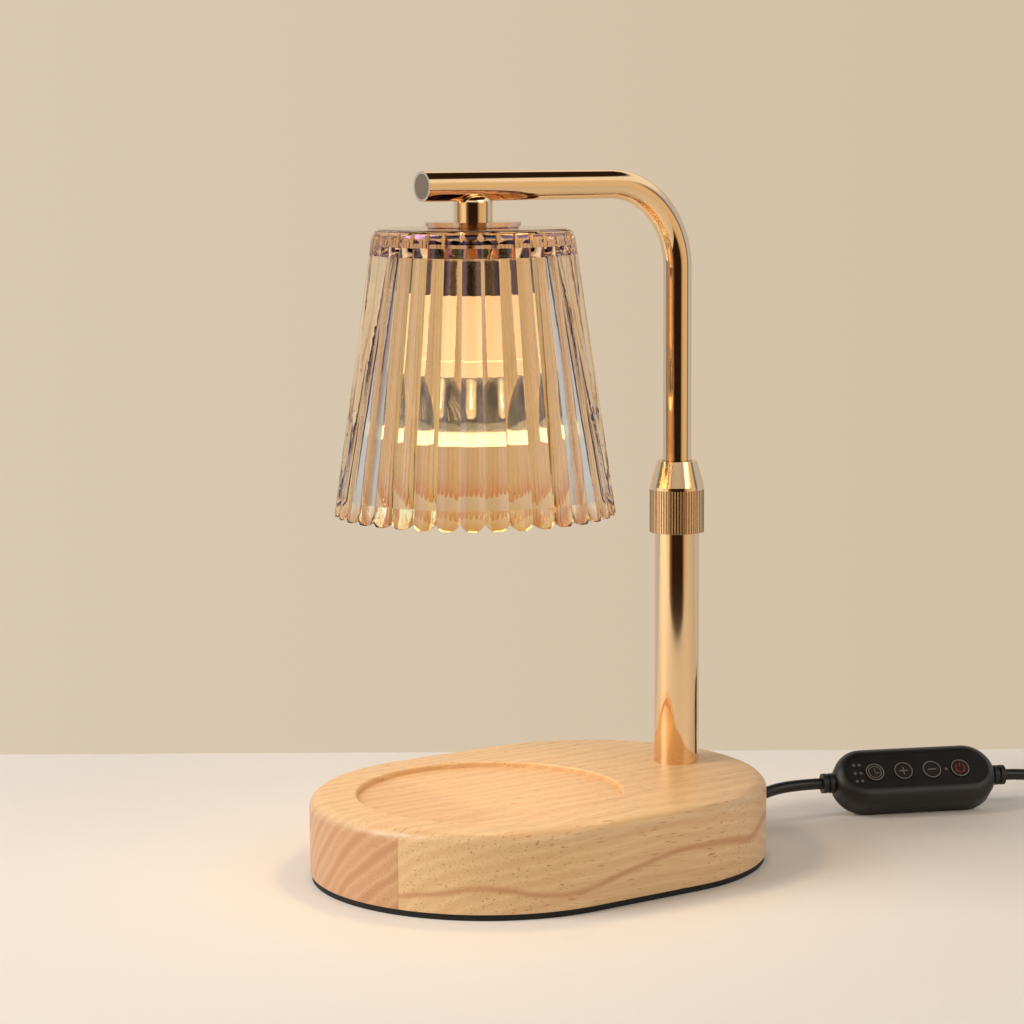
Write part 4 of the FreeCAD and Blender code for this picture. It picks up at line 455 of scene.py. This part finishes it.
def make_dichroic_glass():
    """The reflector's mirror coating lets heat out and sends light down, so it looks blue-grey outside."""
    material, tree = new_finish("dichroic_coated_glass")
    place = add_node(tree, "ShaderNodeTexCoord").outputs["Object"]
    cloud_place = add_node(tree, "ShaderNodeMapping", Vector=place, Scale=cells(8.33, 8.33, 8.33))
    cloud = add_node(tree, "ShaderNodeTexNoise", Vector=cloud_place.outputs["Vector"], Scale=1.0,
                     Detail=2.0)
    tone_stops = [(0.35, colour("#8e99ab")), (0.65, colour("#aab1bd"))]
    tone = add_node(tree, "ShaderNodeValToRGB", {"stops": tone_stops},
                    Fac=cloud.outputs["Fac"]).outputs["Color"]
    axes = add_node(tree, "ShaderNodeSeparateXYZ", Vector=place)
    # Painted glow: a thin band at the rim, where the bulb's light shows at the reflector's edge.
    rim_glow = add_node(tree, "ShaderNodeMapRange", Value=axes.outputs["Z"], i1=BULB_RIM - 0.6 * MM,
                        i2=BULB_RIM + 0.2 * MM, i3=1.2, i4=0.0)
    shader = add_node(tree, "ShaderNodeBsdfPrincipled", Base_Color=tone, Roughness=0.08, IOR=1.5,
                      Transmission_Weight=0.75, Emission_Color=colour("#ffe3ac"),
                      Emission_Strength=rim_glow.outputs["Result"])
    add_node(tree, "ShaderNodeOutputMaterial", Surface=shader.outputs[0])
    return material


def make_lit_quartz():
    """The halogen capsule, bright all over from the coil inside it."""
    material, tree = new_finish("lit_quartz_capsule")
    place = add_node(tree, "ShaderNodeTexCoord").outputs["Object"]
    swirl_place = add_node(tree, "ShaderNodeMapping", Vector=place, Scale=cells(6.67, 6.67, 16.7))
    swirl = add_node(tree, "ShaderNodeTexNoise", Vector=swirl_place.outputs["Vector"], Scale=1.0,
                     Detail=1.0)
    glow_stops = [(0.3, colour("#d8a552")), (0.7, colour("#ffe9b4"))]
    glow = add_node(tree, "ShaderNodeValToRGB", {"stops": glow_stops},
                    Fac=swirl.outputs["Fac"]).outputs["Color"]
    shader = add_node(tree, "ShaderNodeBsdfPrincipled", Base_Color=colour("#fdfaf4"), Roughness=0.05,
                      IOR=1.46, Transmission_Weight=0.9, Emission_Color=glow, Emission_Strength=1.3)
    add_node(tree, "ShaderNodeOutputMaterial", Surface=shader.outputs[0])
    return material


def make_lit_ceramic():
    """Glazed ceramic with a painted cream glow that stands in for the bulb's light inside the shade."""
    material, tree = new_finish("lit_steatite_ceramic")
    place = add_node(tree, "ShaderNodeTexCoord").outputs["Object"]
    axes = add_node(tree, "ShaderNodeSeparateXYZ", Vector=place)
    # Painted glow, a little brighter at the foot, nearer the bulb, than at the top.
    height = add_node(tree, "ShaderNodeMapRange", Value=axes.outputs["Z"], i1=SOCKET_FOOT, i2=SOCKET_TOP)
    glow_stops = [(0.0, colour("#ffe5b8")), (1.0, colour("#f9d5aa"))]
    glow = add_node(tree, "ShaderNodeValToRGB", {"stops": glow_stops},
                    Fac=height.outputs["Result"]).outputs["Color"]
    shader = add_node(tree, "ShaderNodeBsdfPrincipled", Base_Color=colour("#f0e6d6"), Roughness=0.22,
                      Emission_Color=glow, Emission_Strength=0.85)
    add_node(tree, "ShaderNodeOutputMaterial", Surface=shader.outputs[0])
    return material


def make_glow(name, hex_text, strength):
    """A warm glow with a soft unevenness, for the lit lens and filament."""
    material, tree = new_finish(name)
    place = add_node(tree, "ShaderNodeTexCoord").outputs["Object"]
    blotch_place = add_node(tree, "ShaderNodeMapping", Vector=place, Scale=cells(4, 4, 4))
    blotches = add_node(tree, "ShaderNodeTexNoise", Vector=blotch_place.outputs["Vector"], Scale=1.0,
                        Detail=1.0)
    tone_stops = [(0.3, colour(hex_text)), (0.7, colour("#fff1d8"))]
    tone = add_node(tree, "ShaderNodeValToRGB", {"stops": tone_stops},
                    Fac=blotches.outputs["Fac"]).outputs["Color"]
    shader = add_node(tree, "ShaderNodeBsdfPrincipled", Base_Color=colour("#fff4e2"), Roughness=0.3,
                      Emission_Color=tone, Emission_Strength=strength)
    add_node(tree, "ShaderNodeOutputMaterial", Surface=shader.outputs[0])
    return material


amber_glass = make_amber_glass()
dichroic_glass = make_dichroic_glass()
lit_quartz = make_lit_quartz()
lit_ceramic = make_lit_ceramic()
lit_filament = make_glow("incandescent_tungsten", "#ffd9a0", 60.0)
lit_lens = make_glow("lit_prismatic_lens", "#ffd08c", 2.2)
print("glass finishes made")

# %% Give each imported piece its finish
FINISHES = {
    rubberwood: ["wood_base"],
    foam_rubber: ["base_pad"],
    plating: ["lower_tube", "upper_tube", "clamp_nut", "shade_stem"],
    brushed_cap: ["arm_end_cap"],
    zinc_steel: ["post_nipple", "post_washer", "post_nut", "foot_bush", "stop_clips", "stem_stud",
                 "shade_nut", "lock_nut", "keyhole_plate", "bulb_pins", "grip_screws", "switch_screws"],
    turned_brass: ["clamp_sleeve", "socket_contacts", "plug_blades"],
    dark_metal: ["holder_shell"],
    lit_ceramic: ["lamp_socket", "bulb_base"],
    nylon: ["collet", "thrust_ring", "stop_sleeve", "cord_grip", "wire_connectors"],
    silicone: ["shade_gasket"],
    dichroic_glass: ["bulb_reflector"],
    lit_quartz: ["bulb_capsule"],
    lit_lens: ["bulb_lens"],
    lit_filament: ["bulb_filament"],
    lead_sleeve: ["pole_lead", "arm_lead"],
    cord_jacket: ["cord_inside", "cord_in_switch"],
    black_rubber: ["cord_gland", "switch_collar_near", "switch_collar_far", "plug_relief"],
    black_abs: ["switch_face_shell", "switch_back_shell", "tact_switches", "dimmer_parts", "plug_body"],
    plate_film: ["switch_plate"],
    button_film: ["timer_button", "plus_button", "minus_button", "power_button"],
    circuit_mask: ["switch_board"],
    light_pipe: ["indicator_lights"],
    amber_glass: ["glass_shade"],
}
for material, names in FINISHES.items():
    for name in names:
        piece = nodes[name]
        piece.data.materials.clear()
        piece.data.materials.append(material)
for cord_piece in (lamp_side_cord, plug_side_cord):
    cord_piece.data.materials.append(cord_jacket)
print(sum(len(names) for names in FINISHES.values()), "pieces finished")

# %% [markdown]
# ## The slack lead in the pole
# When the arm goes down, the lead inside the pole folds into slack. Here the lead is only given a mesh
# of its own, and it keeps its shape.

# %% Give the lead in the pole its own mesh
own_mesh(nodes["pole_lead"])

# %% [markdown]
# ## Signs on the switch
# Each button carries a fine printed ring and a sign in pale grey: a clock, a plus, a minus, and a power
# sign in red. The ink stands a few hundredths of a millimetre proud, so the signs are thin solids drawn
# in the switch's own frame, where X runs along the switch and Z points out of its face, and they ride on
# the buttons.

# %% Model the signs
SWITCH_CENTRE = Vector((0.18795, -0.0222, 0.014095))
SWITCH_FRAME = (Matrix.Translation(SWITCH_CENTRE) @ Matrix.Rotation(math.radians(-23.8), 4, "Z")
                @ Matrix.Rotation(math.radians(47.8), 4, "X"))
BUTTON_SPACING = 13.2 * MM
RING_RADIUS = 4.15 * MM
LINE = 0.38 * MM
INK = 0.06 * MM
STEPS_ROUND = 48


def add_band(shape, centre, radius, width, z, start=0.0, end=2 * math.pi):
    """A flat band round a centre, from one angle to another, INK thick."""
    closed = end - start > 2 * math.pi - 1e-6
    count = max(8, round(STEPS_ROUND * (end - start) / (2 * math.pi)))
    rings = []
    for index in range(count if closed else count + 1):
        angle = start + (end - start) * index / count
        across = Vector((math.cos(angle), math.sin(angle), 0))
        corners = []
        for away, up in ((-0.5, 0), (0.5, 0), (0.5, 1), (-0.5, 1)):
            lift = Vector((0, 0, z + up * INK))
            corners.append(shape.verts.new(centre + across * (radius + away * width) + lift))
        rings.append(corners)
    pairs = list(zip(rings, rings[1:]))
    if closed:
        pairs.append((rings[-1], rings[0]))
    for one, two in pairs:
        for side in range(4):
            shape.faces.new((one[side], two[side], two[(side + 1) % 4], one[(side + 1) % 4]))
    if not closed:
        shape.faces.new(rings[0])
        shape.faces.new(list(reversed(rings[-1])))


def add_bar(shape, centre, length, width, angle, z):
    """A flat bar with its middle at a centre."""
    along = Vector((math.cos(angle), math.sin(angle), 0)) * length / 2
    across = Vector((-math.sin(angle), math.cos(angle), 0)) * width / 2
    corners = []
    for up in (z, z + INK):
        for one, two in ((-1, -1), (1, -1), (1, 1), (-1, 1)):
            corners.append(shape.verts.new(centre + along * one + across * two + Vector((0, 0, up))))
    for face in ((0, 3, 2, 1), (4, 5, 6, 7), (0, 1, 5, 4), (1, 2, 6, 5), (2, 3, 7, 6), (3, 0, 4, 7)):
        shape.faces.new([corners[index] for index in face])


def button_top(name):
    """How far the button's face stands out, measured on its mesh in the switch's frame."""
    piece = nodes[name]
    into = SWITCH_FRAME.inverted() @ piece.matrix_world
    return max((into @ vertex.co).z for vertex in piece.data.vertices)


def keep_signs(name, shape, button, material):
    """A finished piece from drawn signs, which rides on its button."""
    bmesh.ops.recalc_face_normals(shape, faces=shape.faces)
    mesh = bpy.data.meshes.new(name)
    shape.to_mesh(mesh)
    shape.free()
    mesh.transform(SWITCH_FRAME)
    mesh.materials.append(material)
    piece = bpy.data.objects.new(name, mesh)
    bpy.context.scene.collection.objects.link(piece)
    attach(piece, button)
    return piece


grey_ink = make_moulding("pale_grey_pad_print", "#77716d", 0.5, 0.5, 0.02, 1.1)
red_ink = make_moulding("red_pad_print", "#8e232b", 0.45, 0.5, 0.02, 1.1)
for index, button in enumerate(("timer_button", "plus_button", "minus_button", "power_button")):
    middle = Vector(((index - 1.5) * BUTTON_SPACING, 0, 0))
    top = button_top(button) - INK / 3
    marks = bmesh.new()
    add_band(marks, middle, RING_RADIUS - LINE / 2, LINE, top)
    if button == "timer_button":
        add_band(marks, middle, 0.68 * RING_RADIUS, 0.8 * LINE, top)
        add_bar(marks, middle + Vector((0, 0.16 * RING_RADIUS, 0)), 0.6 * RING_RADIUS, 0.8 * LINE,
                math.pi / 2, top)
        add_bar(marks, middle + Vector((0.24 * RING_RADIUS, -0.14 * RING_RADIUS, 0)), 0.45 * RING_RADIUS,
                0.8 * LINE, 0, top)
    elif button == "plus_button":
        add_bar(marks, middle, 0.95 * RING_RADIUS, 1.2 * LINE, 0, top)
        add_bar(marks, middle, 0.95 * RING_RADIUS, 1.2 * LINE, math.pi / 2, top)
    elif button == "minus_button":
        add_bar(marks, middle, 0.95 * RING_RADIUS, 1.2 * LINE, 0, top)
    keep_signs(button.replace("button", "signs"), marks, button, grey_ink)
    if button == "power_button":
        sign = bmesh.new()
        add_band(sign, middle, 0.5 * RING_RADIUS, 1.3 * LINE, top, math.radians(130), math.radians(410))
        add_bar(sign, middle + Vector((0, 0.36 * RING_RADIUS, 0)), 0.5 * RING_RADIUS, 1.3 * LINE,
                math.pi / 2, top)
        keep_signs("power_red_sign", sign, button, red_ink)
print("signs modelled")

# %% [markdown]
# ## Floor and light
# A plain pale table stands in a warm beige studio. Polished tubes show whatever is round them, so the
# world has what a product studio has: a beige wall behind the lamp, dark space behind the camera with a
# bright strip on its left and a soft beige panel on its right, and cool light at both sides, which the
# glass picks up as bluish streaks. Only reflections, the glass and light see those surroundings: the
# camera sees the beige wall whichever way it looks.

# %% Floor, world and lamps
VIEW_FORWARD = Vector((math.sin(-CAMERA_YAW), math.cos(-CAMERA_YAW), 0))
VIEW_RIGHT = Vector((math.cos(-CAMERA_YAW), -math.sin(-CAMERA_YAW), 0))
# Measured along the floor in metres, from under the camera and away from it.
TABLE_FAR = 1.335
TABLE_NEAR = -0.4
TABLE_HALF_WIDTH = 1.3
REFLECTED_FROM = 0.66
BULB_LIGHT_PLACE = Vector((-31.6, 0, 172)) * MM
BULB_POWER = 0.26


def make_floor():
    """The pale table. Polished metal sees only its far part, as if the near edge were close to the lamp."""
    foot = Vector((CAMERA_PLACE.x, CAMERA_PLACE.y, 0))
    corners = []
    for ahead, aside in ((TABLE_NEAR, -TABLE_HALF_WIDTH), (TABLE_NEAR, TABLE_HALF_WIDTH),
                         (TABLE_FAR, -TABLE_HALF_WIDTH), (TABLE_FAR, TABLE_HALF_WIDTH)):
        corners.append(foot + VIEW_FORWARD * ahead + VIEW_RIGHT * aside)
    mesh = bpy.data.meshes.new("floor")
    mesh.from_pydata(corners, [], [(0, 1, 3, 2)])
    floor = bpy.data.objects.new("floor", mesh)
    bpy.context.scene.collection.objects.link(floor)
    material, tree = new_finish("pale_table")
    place = add_node(tree, "ShaderNodeTexCoord")
    ahead = add_node(tree, "ShaderNodeVectorMath", {"operation": "DOT_PRODUCT"}, i0=place.outputs["Object"],
                     i1=VIEW_FORWARD)
    near = add_node(tree, "ShaderNodeMath", {"operation": "LESS_THAN"}, i0=ahead.outputs["Value"],
                    i1=REFLECTED_FROM + CAMERA_PLACE.dot(VIEW_FORWARD))
    rays = add_node(tree, "ShaderNodeLightPath")
    gone = add_node(tree, "ShaderNodeMath", {"operation": "MULTIPLY"}, i0=near.outputs[0],
                    i1=rays.outputs["Is Glossy Ray"])
    surface = add_node(tree, "ShaderNodeBsdfPrincipled", Base_Color=colour("#f3ece3"), Roughness=0.6)
    nothing = add_node(tree, "ShaderNodeBsdfTransparent")
    shader = add_node(tree, "ShaderNodeMixShader", i0=gone.outputs[0], i1=surface.outputs[0],
                      i2=nothing.outputs[0])
    add_node(tree, "ShaderNodeOutputMaterial", Surface=shader.outputs[0])
    floor.data.materials.append(material)


def make_world():
    """Studio surroundings by the compass: a ramp from straight behind the camera round to the wall."""
    world = bpy.data.worlds.new("beige_studio")
    bpy.context.scene.world = world
    world.use_nodes = True
    tree = world.node_tree
    tree.nodes.clear()
    way = add_node(tree, "ShaderNodeTexCoord").outputs["Generated"]
    right = add_node(tree, "ShaderNodeVectorMath", {"operation": "DOT_PRODUCT"}, i0=way, i1=VIEW_RIGHT)
    back = add_node(tree, "ShaderNodeVectorMath", {"operation": "DOT_PRODUCT"}, i0=way, i1=-VIEW_FORWARD)
    turn = add_node(tree, "ShaderNodeMath", {"operation": "ARCTAN2"}, i0=right.outputs["Value"],
                    i1=back.outputs["Value"])
    share = add_node(tree, "ShaderNodeMapRange", Value=turn.outputs[0], i1=-math.pi, i2=math.pi)
    wall_left = colour("#ddccb4")
    wall_right = colour("#cebca2")
    dark = colour("#2c1f16")
    cool = colour("#c0d0ec")

    def at(degrees):
        return (degrees + 180) / 360

    around_stops = [(at(-180), colour("#d5c3aa")), (at(-166), wall_left), (at(-140), wall_left),
                    (at(-128), cool), (at(-108), cool), (at(-98), colour("#8c6f54")),
                    (at(-80), colour("#cdb08c")), (at(-64), colour("#fff3e0")),
                    (at(-46), colour("#fff0d6")), (at(-36), colour("#8a6444")), (at(-24), dark),
                    (at(26), dark), (at(40), colour("#dcc2a0")), (at(78), colour("#e6d2b5")),
                    (at(90), colour("#6f543d")), (at(100), cool), (at(126), cool), (at(138), wall_right),
                    (at(166), wall_right), (at(180), colour("#d5c3aa"))]
    around = add_node(tree, "ShaderNodeValToRGB", {"stops": around_stops},
                      Fac=share.outputs["Result"]).outputs["Color"]
    axes = add_node(tree, "ShaderNodeSeparateXYZ", Vector=way)
    overhead = add_node(tree, "ShaderNodeMapRange", {"interpolation_type": "SMOOTHSTEP"},
                        Value=axes.outputs["Z"], i1=0.3, i2=0.5)
    ceiling_stops = [(0.0, colour("#fffaf2")), (0.66, colour("#fffaf2")), (0.72, dark), (1.0, dark)]
    ceiling = add_node(tree, "ShaderNodeValToRGB", {"stops": ceiling_stops},
                       Fac=axes.outputs["Z"]).outputs["Color"]
    sky = add_node(tree, "ShaderNodeMix", {"data_type": "RGBA"}, i0=overhead.outputs["Result"], i6=around,
                   i7=ceiling)
    across = add_node(tree, "ShaderNodeMapRange", Value=right.outputs["Value"], i1=-0.3, i2=0.3)
    wall = add_node(tree, "ShaderNodeMix", {"data_type": "RGBA"}, i0=across.outputs["Result"], i6=wall_left,
                    i7=wall_right)
    rays = add_node(tree, "ShaderNodeLightPath")
    shown = add_node(tree, "ShaderNodeMix", {"data_type": "RGBA"}, i0=rays.outputs["Is Camera Ray"],
                     i6=sky.outputs[2], i7=wall.outputs[2])
    background = add_node(tree, "ShaderNodeBackground", Color=shown.outputs[2], Strength=1.0)
    add_node(tree, "ShaderNodeOutputWorld", Surface=background.outputs[0])


def make_area_lamp(name, place, target, size, power, hex_text):
    """A rectangular lamp that looks from its place to its target."""
    data = bpy.data.lights.new(name, "AREA")
    data.shape = "RECTANGLE"
    data.size, data.size_y = size
    data.energy = power
    data.color = colour(hex_text)[:3]
    lamp = bpy.data.objects.new(name, data)
    bpy.context.scene.collection.objects.link(lamp)
    lamp.location = place
    lamp.rotation_euler = (Vector(target) - Vector(place)).to_track_quat("-Z", "Y").to_euler()


def make_bulb_light():
    """The bulb's warm pool on the base and table, from a small lamp that is itself not seen."""
    data = bpy.data.lights.new("bulb_light", "POINT")
    data.energy = BULB_POWER
    data.color = colour("#ffcf90")[:3]
    data.shadow_soft_size = 20 * MM
    lamp = bpy.data.objects.new("bulb_light", data)
    bpy.context.scene.collection.objects.link(lamp)
    lamp.location = BULB_LIGHT_PLACE
    lamp.visible_camera = False
    lamp.visible_glossy = False
    lamp.visible_transmission = False


make_floor()
make_world()
make_area_lamp("window", (-1.5, 0.5, 1.3), (0, 0, 0.1), (0.9, 1.4), 30, "#fffaf4")
make_area_lamp("fill", (0.6, -1.9, 1.5), (0, 0, 0.1), (1.2, 1.2), 8, "#fff8ef")
make_bulb_light()
bpy.context.scene.view_settings.view_transform = "Standard"
print("floor, world and lamps placed")
